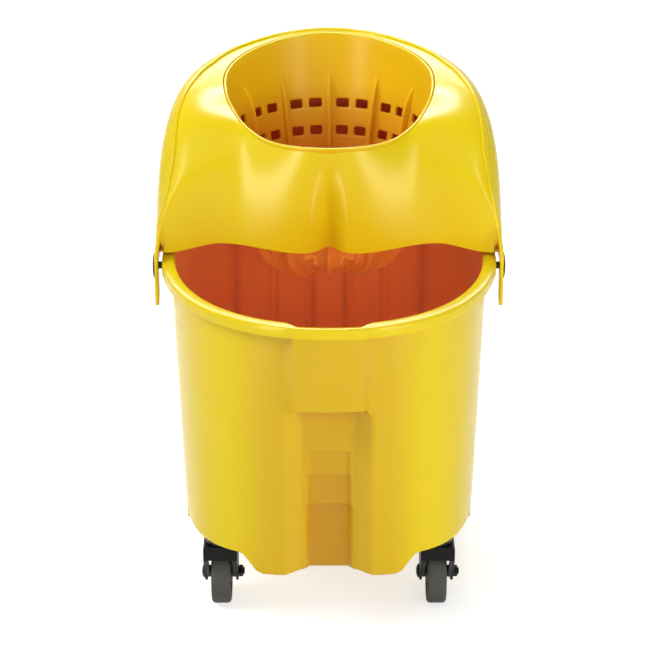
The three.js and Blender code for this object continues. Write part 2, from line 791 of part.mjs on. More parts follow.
function makeCone() {
  const { outer, top, bowl } = coneProfile(0);
  const inner = bowl.map(([r, z], i) => {
    const angle = (Math.PI / 2) * (i / (bowl.length - 1));
    return [r - coneWall * Math.sin(angle), z + coneWall * Math.cos(angle)];
  });
  const wallProfile = [
    [coneDrainRadius, coneFloor],
    ...bowl,
    [outer(top), top],
    [outer(top) - coneWall, top],
    ...inner.reverse(),
    [coneDrainRadius, coneFloor + coneWall],
  ];
  wallProfile.push(wallProfile[0]);
  let cone = turned(wallProfile, coneSides).translate([0, coneDepth, 0]);
  cone = cone.intersect(hoodBody(0, coneFloor - overrun));
  const pitch = 360 / ribCount;
  for (let i = 0; i < ribCount; i++) {
    const bay = (i + 1 / 2) * pitch;
    for (let row = 0; row < holeRowCount; row++) {
      const middle = coneRadiusHeight - row * holeRowPitch;
      const radius = coneInnerRadius(middle);
      const hole = [
        [radius - coneWall * 2, middle - holeHeight / 2],
        [radius + coneWall * 3, middle - holeHeight / 2],
        [radius + coneWall * 3, middle + holeHeight / 2],
        [radius - coneWall * 2, middle + holeHeight / 2],
      ];
      const width = (holeWidth * radius) / coneRadius;
      for (const turn of [-holeOffsetAngle, holeOffsetAngle]) {
        cone = cone.subtract(radialSlab(hole, width, bay + turn));
      }
    }
    const slot = [
      [coneFloorRadius, coneFloor - overrun],
      [outer(coneBowlTop) + overrun, coneFloor - overrun],
      [outer(coneBowlTop) + overrun, coneBowlTop - finHeight / 2],
      [coneFloorRadius, coneBowlTop - finHeight / 2],
    ];
    cone = cone.subtract(radialSlab(slot, slotWidth, bay));
  }
  for (let i = 0; i < ribCount; i++) {
    const turn = i * pitch;
    const rib = radialSlab(ribProfile(Math.min(turn, 360 - turn)), ribWidth, turn);
    cone = cone.add(rib);
  }
  return cone;
}

// The pivot pin of one side: a lens head outside the ear, a shank, and a retaining ring behind the rim.
function makePivotPin(side) {
  const outer = hoodHalfWidth + gap;
  const inner = lugInside - retainerWall * 2;
  const profile = [
    [0, inner],
    [pinRadius, inner],
    [pinRadius, outer],
    ...domeOver(pinHeadRadius, outer, pinHeadHeight),
  ];
  const geometry = new THREE.LatheGeometry(
    profile.map(([r, x]) => new THREE.Vector2(r, x)),
    pinSides,
  );
  geometry.rotateZ(-Math.PI / 2);
  if (side < 0) geometry.rotateZ(Math.PI);
  return solidOf(geometry.translate(0, pivotDepth, pivotHeight));
}

function ringAbout(inner, outer, from, to, axis, place, sides) {
  return bar(outer, from, to, axis, place, sides).subtract(
    bar(inner, from - overrun, to + overrun, axis, place, sides),
  );
}

// The open clip on the pin's tail, with its mouth up under the rim's flange.
function makeRetainer(side) {
  const near = lugInside - gap;
  const far = near - retainerWall;
  const [from, to] = between(side, far, near);
  const mouth = boxBetween(
    [from - overrun, pivotDepth - retainerRadius * 2, pivotHeight + pinRadius / 2],
    [to + overrun, pivotDepth + retainerRadius * 2, pivotHeight + retainerRadius * 2],
  );
  return ringAbout(pinRadius + gap, retainerRadius, from, to, "x", pivotPlace, 16).subtract(mouth);
}

const wheelSides = 16;
const boltSides = 10;

// One caster, in its own group at the stem's foot on the floor; it trails towards the rear.
function makeCaster(name, x, y) {
  const group = new THREE.Group();
  group.position.set(x, y, 0);
  const axle = [0, casterTrail, wheelRadius];
  const stemTop = padHeight + stemLength;
  const stemFoot = forkTop - forkWall - gap - stemHeadHeight;
  const collarTop = padHeight - gap;
  const collarLow = collarTop - collarHeight;
  const stem = turned(
    [
      ...domeOver(stemHeadRadius, stemFoot + stemHeadHeight, -stemHeadHeight).reverse(),
      [stemRadius, stemFoot + stemHeadHeight],
      [stemRadius, collarLow],
      [collarRadius, collarLow],
      [collarRadius, collarTop],
      [stemRadius, collarTop],
      [stemRadius, stemTop - stemRadius / 2],
      [stemRadius / 2, stemTop],
      [0, stemTop],
    ],
    stemSides,
  );
  const bearingLow = forkTop + gap;
  const bearingTop = collarLow - gap;
  const bearing = turned(
    [
      [stemRadius + runningGap, bearingLow],
      [bearingRadius, bearingLow],
      [bearingRadius, mix(bearingLow, bearingTop, bearingShoulderShare)],
      [bearingRadius * bearingTopShare, bearingTop],
      [stemRadius + runningGap, bearingTop],
      [stemRadius + runningGap, bearingLow],
    ],
    stemSides,
  );
  const half = forkWidth / 2;
  const sideView = [
    [-forkReach, forkTop],
    [-forkReach, forkTop - forkFrontDrop],
  ];
  const arcSteps = 6;
  for (let i = 0; i <= arcSteps; i++) {
    const angle = Math.PI * mix(...forkEndArcShares, i / arcSteps);
    sideView.push([
      casterTrail + forkEndRadius * Math.cos(angle),
      wheelRadius + forkEndRadius * Math.sin(angle),
    ]);
  }
  sideView.push([
    casterTrail + forkEndRadius * forkBackShare,
    mix(wheelRadius, forkTop, forkShoulderShare),
  ]);
  sideView.push([forkReach, forkTop]);
  const slab = (points, halfWidth) => {
    const shape = new THREE.Shape(points.map(([py, pz]) => new THREE.Vector2(py, pz)));
    const geometry = new THREE.ExtrudeGeometry(shape, { depth: halfWidth * 2, bevelEnabled: false });
    geometry.rotateY(Math.PI / 2);
    geometry.rotateX(Math.PI / 2);
    return solidOf(geometry.translate(-halfWidth, 0, 0));
  };
  let fork = slab(sideView, half);
  fork = fork.subtract(
    boxBetween(
      [-half + forkWall, -forkReach + forkWall, -overrun],
      [half - forkWall, casterTrail + wheelRadius, forkTop - forkWall],
    ),
  );
  const stemHole = bar(stemRadius + runningGap, 0, forkTop + overrun, "z", [0, 0, 0], stemSides);
  const boltHole = bar(axleRadius + runningGap, -half - overrun, half + overrun, "x", axle, boltSides);
  fork = fork.subtract(stemHole).subtract(boltHole);
  const wheelHalf = wheelWidth / 2;
  const treadRadius = wheelRadius * treadRadiusShare;
  const spin = (profile, sides) => {
    const flats = 1 / Math.cos(Math.PI / sides);
    const points = profile.map(([r, w]) => new THREE.Vector2(r * flats, w));
    const geometry = new THREE.LatheGeometry(points, sides);
    geometry.rotateZ(Math.PI / 2);
    geometry.rotateX(Math.PI / sides);
    return solidOf(geometry.translate(...axle));
  };
  const tyre = spin(
    [
      [treadRadius, -wheelHalf],
      [wheelRadius - tyreEdge, -wheelHalf],
      [wheelRadius, -wheelHalf + tyreEdge],
      [wheelRadius, wheelHalf - tyreEdge],
      [wheelRadius - tyreEdge, wheelHalf],
      [treadRadius, wheelHalf],
      [treadRadius, -wheelHalf],
    ],
    wheelSides,
  );
  const webHalf = wheelHalf * webWidthShare;
  const coreRadius = treadRadius - gap;
  const hub = spin(
    [
      [axleRadius + runningGap, -wheelHalf],
      [hubRadius, -wheelHalf],
      [hubRadius, -webHalf],
      [coreRadius, -webHalf],
      [coreRadius, webHalf],
      [hubRadius, webHalf],
      [hubRadius, wheelHalf],
      [axleRadius + runningGap, wheelHalf],
      [axleRadius + runningGap, -wheelHalf],
    ],
    wheelSides,
  );
  const boltEnd = half + gap + nutHeight + boltHeadHeight / 2;
  const bolt = spin(
    [
      [0, -boltEnd],
      [axleRadius, -boltEnd],
      [axleRadius, half + gap],
      ...domeOver(boltHeadRadius, half + gap, boltHeadHeight),
    ],
    boltSides,
  );
  const nut = bar(nutRadius, half + gap, half + gap + nutHeight, "x", axle, 6).subtract(
    bar(axleRadius + runningGap, 0, half + overrun, "x", axle, boltSides),
  );
  const spacer = (from, to) =>
    ringAbout(axleRadius + runningGap, spacerRadius, from, to, "x", axle, boltSides);
  group.add(
    meshOf(name + "_stem", stem, zincSteel),
    meshOf(name + "_swivel_bearing", bearing, zincSteel),
    meshOf(name + "_fork", fork, blackSteel),
    meshOf(name + "_tyre", tyre, greyRubber),
    meshOf(name + "_wheel_hub", hub, darkPlastic),
    meshOf(name + "_axle_bolt", bolt, blackSteel),
    meshOf(name + "_axle_nut", nut, blackSteel),
    meshOf(name + "_spacer_left", spacer(-half + forkWall + gap, -wheelHalf - gap), zincSteel),
    meshOf(name + "_spacer_right", spacer(wheelHalf + gap, half - forkWall - gap), zincSteel),
  );
  return group;
}

const mopBucket = new THREE.Group();
mopBucket.add(
  meshOf("bucket", makeBucket(), yellow),
  meshOf("hood", makeHood(), yellow),
  meshOf("wringer_cone", makeCone(), orange),
  meshOf("pivot_pin_left", makePivotPin(-1), bronze),
  meshOf("pivot_pin_right", makePivotPin(1), bronze),
  meshOf("pivot_clip_left", makeRetainer(-1), zincSteel),
  meshOf("pivot_clip_right", makeRetainer(1), zincSteel),
);
for (const [name, x, y] of casterPlaces) {
  mopBucket.add(makeCaster(name, x, y));
}

// The origin lies on the floor under the middle of the whole outline, front rim to hood's rear.
mopBucket.position.y = (rimHalfDepth - hoodRearDepth) / 2;

export default mopBucket;
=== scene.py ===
"""Mop bucket on casters with a tilting splash hood and a ribbed wringer cone.

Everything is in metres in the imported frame. The shapes are worked out about the bucket's own middle, which
lies a little behind the frame's origin, and are moved there when their meshes are made.
"""
import math

import bmesh
import bpy
import numpy as np
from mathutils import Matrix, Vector


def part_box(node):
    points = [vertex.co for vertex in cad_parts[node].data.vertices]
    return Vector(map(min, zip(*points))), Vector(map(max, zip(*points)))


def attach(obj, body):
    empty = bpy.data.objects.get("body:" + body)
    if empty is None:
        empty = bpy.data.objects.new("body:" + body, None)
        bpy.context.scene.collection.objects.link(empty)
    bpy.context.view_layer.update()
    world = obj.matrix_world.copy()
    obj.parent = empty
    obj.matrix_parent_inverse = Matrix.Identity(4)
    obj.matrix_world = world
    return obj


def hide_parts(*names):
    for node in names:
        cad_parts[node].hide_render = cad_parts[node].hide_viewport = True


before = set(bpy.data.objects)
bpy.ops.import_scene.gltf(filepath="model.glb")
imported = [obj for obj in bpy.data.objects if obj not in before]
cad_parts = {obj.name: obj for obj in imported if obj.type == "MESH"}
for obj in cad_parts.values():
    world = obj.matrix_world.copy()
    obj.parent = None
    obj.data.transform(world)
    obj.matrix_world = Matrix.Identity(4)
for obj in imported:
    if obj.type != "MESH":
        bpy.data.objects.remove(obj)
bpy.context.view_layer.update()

# Sizes read from the frame.
bucket_low, bucket_high = (np.array(corner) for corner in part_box("bucket"))
RIM_HALF_WIDTH = bucket_high[0]
RIM_HALF_DEPTH = (bucket_high[1] - bucket_low[1]) / 2
RIM_TOP = bucket_high[2]
FOOT_HEIGHT = bucket_low[2]
MIDDLE_Y = (bucket_high[1] + bucket_low[1]) / 2

# Sizes of the bucket.
RIM_BAND_HEIGHT = 0.014
RIM_BAND_WALL = 0.0035
RIM_STAND_OFF = 0.010
RIM_FLANGE_WALL = 0.004
RIM_ROUNDING = 0.0022
BUCKET_WALL = 0.005
PAD_HEIGHT = 0.103
PAD_INNER_EDGE = 0.078
PAD_START = 0.088
PAD_RAMP = 0.012
WALL_DRAFT_SHARE = 0.05
RIM_ROUNDNESS = 2.2
BASE_ROUNDNESS = 3.4
BASE_ROUNDING = 0.004

# Sizes of the grip plate and the channels.
GRIP_HALF_WIDTH = 0.052
GRIP_FACE_HALF_WIDTH = 0.039
GRIP_TAPER = 0.007
GRIP_FACE_DEPTH = 0.2494
GRIP_BAND_STEP = 0.0010
GRIP_FACE_STEP = 0.0016
GRIP_BOTTOM = 0.295
GRIP_CHEEK_DROP = 0.011
GRIP_WALL = 0.004
RECESS_HALF_WIDTH = 0.049
RECESS_FLOOR_HALF_WIDTH = 0.030
RECESS_DEPTH = 0.016
RECESS_ROUNDING = 0.0022
CHANNEL_HALF_WIDTH = 0.0215
CHANNEL_SLOPE_SHARE = 0.65
CHANNEL_STEP_DEPTH = 0.003
CHANNEL_STEP_TOPS = (0.232, 0.201, 0.162)
REAR_RECESS_HALF_WIDTH = 0.067
REAR_RECESS_DEPTH = 0.006
REAR_CHANNEL_TOP = 0.368
SIDE_FOLD_HALF_WIDTH = 0.120
SIDE_FOLD_DEPTH = 0.0025
FILLET = 0.0014
# Painted shade: its strength over the front wall's middle, its strength and reach under the grip plate, and
# the place, width and strength of the painted shade along each upright fold inside the rear wall.
MIDDLE_SHADE = 0.5
PLATE_SHADE = 0.7
PLATE_SHADE_REACH = 0.03
INNER_FOLD_SHADES = ((0.0205, 0.0045, 1.0), (0.067, 0.0025, 0.6), (0.118, 0.0055, 1.0))
RIM_CROWN = 0.0018

# Sizes of the hood.
HOOD_HALF_WIDTH = 0.2045
HOOD_REAR_DEPTH = 0.259
HOOD_WALL = 0.004
HOOD_WALL_FOOT = 0.400
HOOD_SKIRT_FOOT = 0.385
HOOD_LEDGE_WIDTH = 0.015
HOOD_LEDGE_WALL = 0.0035
HOOD_REST_GAP = 0.0004
NOSE_HEIGHT = 0.526
CREST_HEIGHT = 0.5975
CORNER_DEPTH = 0.023
BULGE_DEPTH = 0.027
BULGE_HALF_WIDTH = 0.030
VALLEY_HALF_WIDTH = 0.128
VALLEY_RISE = 0.0105
FRONT_ARCH_RISE = 0.009
CORNER_HALF_WIDTH = 0.190
FLUTE_DEPTH = 0.024
FLUTE_HALF_WIDTH = 0.015
FULLNESS_PLACES = (0, 25, 50, 62, 72, 95, 125, 180)
FULLNESS_SHARES = (2.1, 1.45, 1.3, 1.6, 4.2, 6, 7.5, 8)
CORNER_POWERS = (120, 4)
CORNER_FADE = (0.3, 1)
RIM_RISE_PLACES = (0, 30, 40, 55, 71, 85, 105, 130, 145, 157, 180)
RIM_RISE_SHARES = (0, 0, 0.02, 0.14, 0.33, 0.56, 0.72, 0.84, 0.9, 0.95, 1)
EAR_WIDTH = 0.030
EAR_WALL = 0.004
EAR_FOOT = 0.337
EAR_TOP = 0.436
NOTCH_HALF_WIDTH = 0.194
NOTCH_TOP = 0.415
LIP_WIDTH = 0.009
LIP_HEIGHT = 0.0027
LIP_SINK = 0.004
LIP_PLACES = (59.2, 59.4, 62, 65, 69, 76, 85, 95, 110, 140, 180)
LIP_SHARES = (0.03, 0.25, 0.354, 0.457, 0.53, 0.64, 0.75, 0.845, 0.925, 0.95, 0.955)
PIVOT_DEPTH = -0.030
PIVOT_HEIGHT = 0.387

# Sizes of the wringer cone.
CONE_DEPTH = 0.101
CONE_RADIUS = 0.1115
CONE_RADIUS_HEIGHT = 0.5117
CONE_SLOPE_SHARE = 0.1933
CONE_WALL = 0.004
CONE_BOWL_TOP = 0.388
CONE_FLOOR = 0.350
CONE_FLOOR_RADIUS = 0.044
CONE_DRAIN_RADIUS = 0.018
CONE_GAP = 0.0004
RIB_COUNT = 12
RIB_WIDTH = 0.005
RIB_HEIGHT = 0.008
RIB_TOP = 0.547
RIB_TIP = 0.030
RIB_TOP_ROOM = 0.010
RIB_EDGE = 0.0011
HOLE_ROW_TOP = 0.5117
HOLE_ROW_PITCH = 0.0334
HOLE_ROW_COUNT = 3
HOLE_HEIGHT = 0.011
HOLE_WIDTH = 0.016
HOLE_OFFSET_ANGLE = 6.3
HOLE_ROUNDING = 0.0022
SLOT_HALF_WIDTH = 0.0085
FIN_HEIGHT = 0.009
FIN_CORNER = 0.002

# Sizes of the lugs and the bosses on the bucket.
LUG_RADIUS = 0.014
LUG_INSIDE = 0.1912
BOSS_RADIUS = 0.010
BOSS_TOP = 0.1395

# Sizes of a caster.
CASTER_HALF_TRACK = 0.127
CASTER_HALF_BASE = 0.158
CASTER_TRAIL = 0.025
WHEEL_RADIUS = 0.0381
WHEEL_WIDTH = 0.023
TREAD_RADIUS_SHARE = 0.76
HUB_RADIUS = 0.013
AXLE_RADIUS = 0.0045
FORK_WIDTH = 0.0397
FORK_WALL = 0.003
FORK_FLANGE_WALL = 0.0025
FORK_FLANGE_WIDTH = 0.0065
FORK_TOP = 0.091
FORK_FRONT_DROP = 0.018
FORK_REACH = 0.018
FORK_END_RADIUS = 0.011
FORK_END_ARC = (1.08, 2.03)
FORK_SHOULDER_REACH = 0.0143
FORK_SHOULDER_SHARE = 0.55
FORK_BACK_LEAN = 0.005
FORK_BEND_RADIUS = 0.004
TYRE_ROUNDING = 0.0045
TYRE_RING = ((0, -0.0006), (0.0008, 0), (0.0022, 0), (0.0028, -0.0007))
HUB_WEB_SHARE = 0.55
HUB_RIM_INSET = 0.0012
HUB_RIM_WALL = 0.003
HUB_RIM_DRAFT = 0.0005
HUB_BOSS_DRAFT = 0.0006
HUB_ROUNDING = 0.0009
STEM_RADIUS = 0.0055
STEM_LENGTH = 0.032
STEM_CHAMFER = 0.003
STEM_HEAD = ((0, -0.003), (0.006, -0.0026), (0.009, -0.0006), (0.009, 0))
STEM_COLLAR_HEIGHT = 0.003
COLLAR_RADIUS = 0.013
BEARING_RADIUS = 0.017
BEARING_TOP_RADIUS = 0.0153
BEARING_SHOULDER = 0.006
BEARING_ROUNDING = 0.0012
BOLT_HEAD_RADIUS = 0.0085
BOLT_HEAD_HEIGHT = 0.0035
BOLT_CHAMFER = 0.0009
NUT_RADIUS = 0.007
NUT_HEIGHT = 0.005
NUT_SHOULDER = 0.004
NUT_TOP_RADIUS = 0.00616
RUNNING_GAP = 0.0006
SEAT_GAP = 0.0003
SKIN_STEP = 0.00004
METAL_EDGE = 0.0006
CASTER_PLACES = (
    ("front_left", -CASTER_HALF_TRACK, -CASTER_HALF_BASE),
    ("front_right", CASTER_HALF_TRACK, -CASTER_HALF_BASE),
    ("rear_left", -CASTER_HALF_TRACK, CASTER_HALF_BASE),
    ("rear_right", CASTER_HALF_TRACK, CASTER_HALF_BASE),
)

# Sizes of a pivot rivet.
PIN_RADIUS = 0.0043
PIN_HEAD_RADIUS = 0.015
PIN_HEAD_HEIGHT = 0.0024
PIN_HEAD_EDGE = 0.0006

# Strengths of the floor, the surround and the glow, the plastic's grain and the floor's size.
FLOOR_LIFT_NEAR = 0.62
FLOOR_LIFT_FAR = 0.95
FLOOR_NEAR = 0.45
FLOOR_FAR = 1.6
WORLD_GLOSS_FRONT = 0.3
WORLD_GLOSS_BACK = 0.85
WORLD_FILL = 0.12
INSIDE_GLOW = 0.056
CAGE_GLOW = 0.075
BLACK = (0, 0, 0, 1)
GRAIN_SCALE = 900.0
GRAIN_DEPTH = 0.00004
FLOOR_HALF = 8

# Plain finishes: name, two near tones, metallic value, lowest and highest roughness, the grain's scale and
# depth, and the amount of scuffs.
PLAIN_FINISHES = {
    "black": ("black powder coat", (12, 12, 12), (17, 17, 17), 0.0, 0.35, 0.5, 1600.0, 0.0001, 0.3),
    "zinc": ("dull zinc", (58, 58, 60), (72, 72, 75), 1.0, 0.35, 0.5, 700.0, 0.00003, 0.4),
    "bronze": ("dark bronze", (62, 44, 30), (78, 56, 38), 0.6, 0.3, 0.42, 800.0, 0.00003, 0.3),
    "rubber": ("grey rubber", (76, 76, 73), (88, 88, 84), 0.0, 0.6, 0.75, 1200.0, 0.0001, 0.6),
    "nylon": ("grey nylon", (50, 50, 51), (60, 60, 61), 0.0, 0.4, 0.55, 1000.0, 0.00006, 0.3),
}

# Lamps: name, place, the point that it faces, size, brightness, whether surfaces mirror it and whether it
# lights them.
LAMPS = (
    ("back top gloss", (0, 0.8, 1.76), (0, 0.1, 0.55), (0.42, 0.28), 34, True, False),
    ("back low gloss", (0, 2.2, 1.95), (0, 0.1, 0.5), (2.6, 0.9), 7, True, False),
    ("back top fill", (0, 0.8, 1.9), (0, 0.1, 0.5), (0.9, 0.6), 6.5, False, True),
    ("left strip", (-0.92, -1.18, 1.18), (0, 0, 1.18), (0.24, 2.3), 13, True, False),
    ("right strip", (0.92, -1.18, 1.1), (0, 0, 1.1), (0.24, 2.1), 10, True, False),
    ("front top fill", (-0.3, -1.1, 2.2), (0, 0, 0.45), (1.6, 0.9), 1.5, False, True),
    ("front fill", (0.3, -2.4, 0.85), (0, 0, 0.4), (1.6, 1.0), 3.2, False, True),
    ("right low fill", (1.7, -1.1, 0.4), (0, 0, 0.3), (1.0, 1.0), 3.2, False, True),
    ("left high fill", (-1.7, -0.35, 1.6), (0, 0, 0.45), (1.2, 1.0), 4.5, False, True),
)


def ease(low, high, value):
    """A smooth step from 0 at low to 1 at high: three times the square less twice the cube of the share."""
    share = np.clip((value - low) / (high - low), 0, 1)
    return share * share * (3 - 2 * share)


def mix(a, b, share):
    """The value a share of the way from a to b."""
    return a + (b - a) * share


def grid_faces(rows, columns, wrap):
    """The quads of a grid stored row by row; wrap joins the last column to the first."""
    across = columns if wrap else columns - 1
    i, j = np.meshgrid(np.arange(rows - 1), np.arange(across), indexing="ij")
    a = i * columns + j
    b = i * columns + (j + 1) % columns
    return np.stack([a, b, b + columns, a + columns], -1).reshape(-1, 4)


def make_piece(name, parts, material, sharp=35, attributes=None, caps=False):
    """Makes one object from (points, faces) parts, joins its doubled points and smooths it."""
    points = [part.reshape(-1, 3) for part, _ in parts]
    starts = np.cumsum([0] + [len(part) for part in points[:-1]])
    points = np.concatenate(points) + np.array([0.0, MIDDLE_Y, 0.0])
    faces = np.concatenate([part + start for (_, part), start in zip(parts, starts)])
    mesh = bpy.data.meshes.new(name)
    mesh.from_pydata(points.tolist(), [], faces.tolist())
    for label, values in (attributes or {}).items():
        layer = mesh.attributes.new(label, "FLOAT", "POINT")
        layer.data.foreach_set("value", np.asarray(values, np.float32).ravel())
    work = bmesh.new()
    work.from_mesh(mesh)
    if caps:
        bmesh.ops.holes_fill(work, edges=work.edges, sides=0)
    bmesh.ops.remove_doubles(work, verts=work.verts, dist=2e-6)
    bmesh.ops.dissolve_degenerate(work, edges=work.edges, dist=1e-7)
    bmesh.ops.recalc_face_normals(work, faces=work.faces)
    work.to_mesh(mesh)
    work.free()
    mesh.shade_smooth()
    mesh.set_sharp_from_angle(angle=math.radians(sharp))
    mesh.materials.append(material)
    piece = bpy.data.objects.new(name, mesh)
    bpy.context.scene.collection.objects.link(piece)
    return piece


def dress(piece, body, slot, *nodes):
    """The piece rides on a body and stands for these nodes. Its slot is not used."""
    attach(piece, body)
    if nodes:
        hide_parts(*nodes)
    return piece


def soften_edges(piece, width, segments):
    """A live bevel on the piece's sharp edges."""
    soften = piece.modifiers.new("edges", "BEVEL")
    soften.width = width
    soften.segments = segments
    soften.limit_method = "ANGLE"
    soften.angle_limit = math.radians(50)


def pairs(first, second):
    """Two arrays, or an array and a number, side by side as rows of pairs."""
    return np.stack(np.broadcast_arrays(first, second), -1)


def turned(profile, centre, axis, sides=72):
    """A profile of (radius, along) pairs turned about an axis through a centre: its points and faces."""
    profile = np.array(profile, float)
    turn = np.arange(sides) * 2 * np.pi / sides
    radius = profile[:, 0][:, None]
    along = np.repeat(profile[:, 1][:, None], sides, 1)
    u = radius * np.cos(turn)
    v = radius * np.sin(turn)
    order = {"x": (along, u, v), "y": (v, along, u), "z": (u, v, along)}[axis]
    points = np.stack(order, -1) + np.array(centre)
    return points, grid_faces(len(profile), sides, True)


def rounded(corners, radius, steps=4):
    """A closed outline of (radius, along) corners with each corner rounded by a quadratic curve."""
    corners = np.array(corners, float)
    before = np.roll(corners, 1, 0) - corners
    after = np.roll(corners, -1, 0) - corners
    before_length = np.linalg.norm(before, axis=1, keepdims=True)
    after_length = np.linalg.norm(after, axis=1, keepdims=True)
    reach = np.minimum(radius, np.minimum(before_length, after_length) / 2.05)
    start = (corners + before / before_length * reach)[:, None]
    end = (corners + after / after_length * reach)[:, None]
    t = np.linspace(0, 1, steps + 1)[:, None]
    outline = (1 - t) ** 2 * start + 2 * t * (1 - t) * corners[:, None] + t**2 * end
    outline = outline.reshape(-1, 2)
    return np.concatenate([outline, outline[:1]])


def swept(sections):
    """Closed sections joined row to row, each end closed by a row that shrinks to its middle."""
    first = sections[:1].mean(1, keepdims=True)
    last = sections[-1:].mean(1, keepdims=True)
    first = np.repeat(first, sections.shape[1], 1)
    last = np.repeat(last, sections.shape[1], 1)
    points = np.concatenate([first, sections, last])
    return points, grid_faces(points.shape[0], points.shape[1], True)


def slab(outline, low, high, axis="x"):
    """A flat plate: an outline of pairs, carried along an axis from low to high, with its ends left open."""
    along = np.repeat([[low], [high]], len(outline), 1)
    first, second = np.broadcast_to(outline.T[:, None], (2, 2, len(outline)))
    order = {"x": (along, first, second), "y": (first, along, second)}[axis]
    return np.stack(order, -1), grid_faces(2, len(outline), True)


# The bucket's columns of points: upright planes across the front and the rear, fans round the sides.
FRONT_HALF = 0.060
REAR_HALF = 0.130
FRONT_COLUMNS = 40
REAR_COLUMNS = 52
SIDE_COLUMNS = 66

# The bucket's rows of points: even ones up each wall, and rings on the underside and on the floor.
WALL_ROWS = 74
UNDER_RINGS = 40
FLOOR_RINGS = 30


def oval_sizes(z):
    """The bucket wall's half width, half depth and roundness at a height."""
    draft = WALL_DRAFT_SHARE * (RIM_TOP - z)
    half_width = RIM_HALF_WIDTH - RIM_STAND_OFF - draft
    half_depth = RIM_HALF_DEPTH - RIM_STAND_OFF - draft
    share = (z - FOOT_HEIGHT) / (RIM_TOP - FOOT_HEIGHT)
    return half_width, half_depth, mix(BASE_ROUNDNESS, RIM_ROUNDNESS, share)


def oval_points(half_width, half_depth, roundness):
    """One closed row of points on an oval whose x and y powers add up to one."""
    def depth_at(x):
        """The oval's half depth at x."""
        return half_depth * (1 - (np.abs(x) / half_width) ** roundness) ** (1 / roundness)

    def fan(start, end):
        """The oval where rays from its middle meet it, at even turns from start to end."""
        share = np.linspace(0, 1, SIDE_COLUMNS + 1)[1:-1]
        turn = mix(start, end, share)
        across = (np.abs(np.cos(turn)) / half_width) ** roundness
        along = (np.abs(np.sin(turn)) / half_depth) ** roundness
        radius = (across + along) ** (-1 / roundness)
        return radius * np.cos(turn), radius * np.sin(turn)

    front_x = np.linspace(-FRONT_HALF, FRONT_HALF, 2 * FRONT_COLUMNS + 1)
    rear_x = np.linspace(REAR_HALF, -REAR_HALF, 2 * REAR_COLUMNS + 1)
    front_turn = math.atan2(-depth_at(FRONT_HALF), FRONT_HALF)
    rear_turn = math.atan2(depth_at(REAR_HALF), REAR_HALF)
    right_x, right_y = fan(front_turn, rear_turn)
    x = np.concatenate([front_x, right_x, rear_x, -right_x[::-1]])
    y = np.concatenate([-depth_at(front_x), right_y, depth_at(rear_x), right_y[::-1]])
    return x, y


def softened(shape, x, reach):
    """A shape averaged over a small reach to both sides, which rounds its edges."""
    return sum(shape(x + shift * reach) for shift in (-1, -0.6, -0.2, 0.2, 0.6, 1)) / 6


def front_recess(x, z, grow):
    """How far the front wall is drawn in: sloping flanks, a floor, and a channel deeper at each step."""
    across = np.abs(x)

    def recess(place):
        """The recess: a slope from its edge, held level at its floor."""
        share = (RECESS_HALF_WIDTH + grow - place) / (RECESS_HALF_WIDTH - RECESS_FLOOR_HALF_WIDTH)
        return RECESS_DEPTH * np.clip(share, 0, 1)

    def channel(place, depth):
        """The channel: level at its depth, and a slope up beyond its half width."""
        return depth - np.maximum(place - CHANNEL_HALF_WIDTH - grow, 0) / CHANNEL_SLOPE_SHARE

    depth = softened(recess, across, RECESS_ROUNDING)
    for i, top in enumerate(CHANNEL_STEP_TOPS):
        total = RECESS_DEPTH + CHANNEL_STEP_DEPTH * (i + 1)

        def both(place, total=total):
            """The deeper of the two."""
            return np.maximum(recess(place), channel(place, total))

        cut = softened(both, across, RECESS_ROUNDING / 2)
        step = 1 - ease(top + grow - FILLET, top + grow + FILLET, z)
        depth = mix(depth, np.maximum(depth, cut), step)
    return depth


def rear_recess(x, z, grow):
    """How far the rear wall is drawn in: a wide shallow recess, a channel in it and a fold on each side."""
    across = np.abs(x)
    wide = 1 - ease(REAR_RECESS_HALF_WIDTH + grow, REAR_RECESS_HALF_WIDTH + grow + REAR_RECESS_DEPTH, across)
    narrow = 1 - ease(CHANNEL_HALF_WIDTH + grow, CHANNEL_HALF_WIDTH + grow + REAR_RECESS_DEPTH, across)
    fold_in = ease(SIDE_FOLD_HALF_WIDTH - REAR_RECESS_DEPTH, SIDE_FOLD_HALF_WIDTH, across)
    below = 1 - ease(REAR_CHANNEL_TOP + grow - BUCKET_WALL, REAR_CHANNEL_TOP + grow + FILLET, z)
    return (REAR_RECESS_DEPTH * (wide + narrow) - SIDE_FOLD_DEPTH * fold_in) * below


def plate_share(x, z, inset):
    """How far a point is on the grip plate: 1 on its face, falling to 0 across its slanting cheeks."""
    taper = GRIP_TAPER * (RIM_TOP - z) / (RIM_TOP - GRIP_BOTTOM)
    half = GRIP_HALF_WIDTH - taper - inset
    face = GRIP_FACE_HALF_WIDTH - inset
    return np.clip((half - np.abs(x)) / (half - face), 0, 1)


def plate_low(x, inset):
    """The grip plate's lower edge: level under its face, curving down along the cheeks."""
    reach = np.clip((np.abs(x) - GRIP_FACE_HALF_WIDTH) / GRIP_TAPER, 0, 1)
    drop = GRIP_CHEEK_DROP * np.sin(reach * np.pi / 2)
    return GRIP_BOTTOM + inset - (0 if inset else drop)


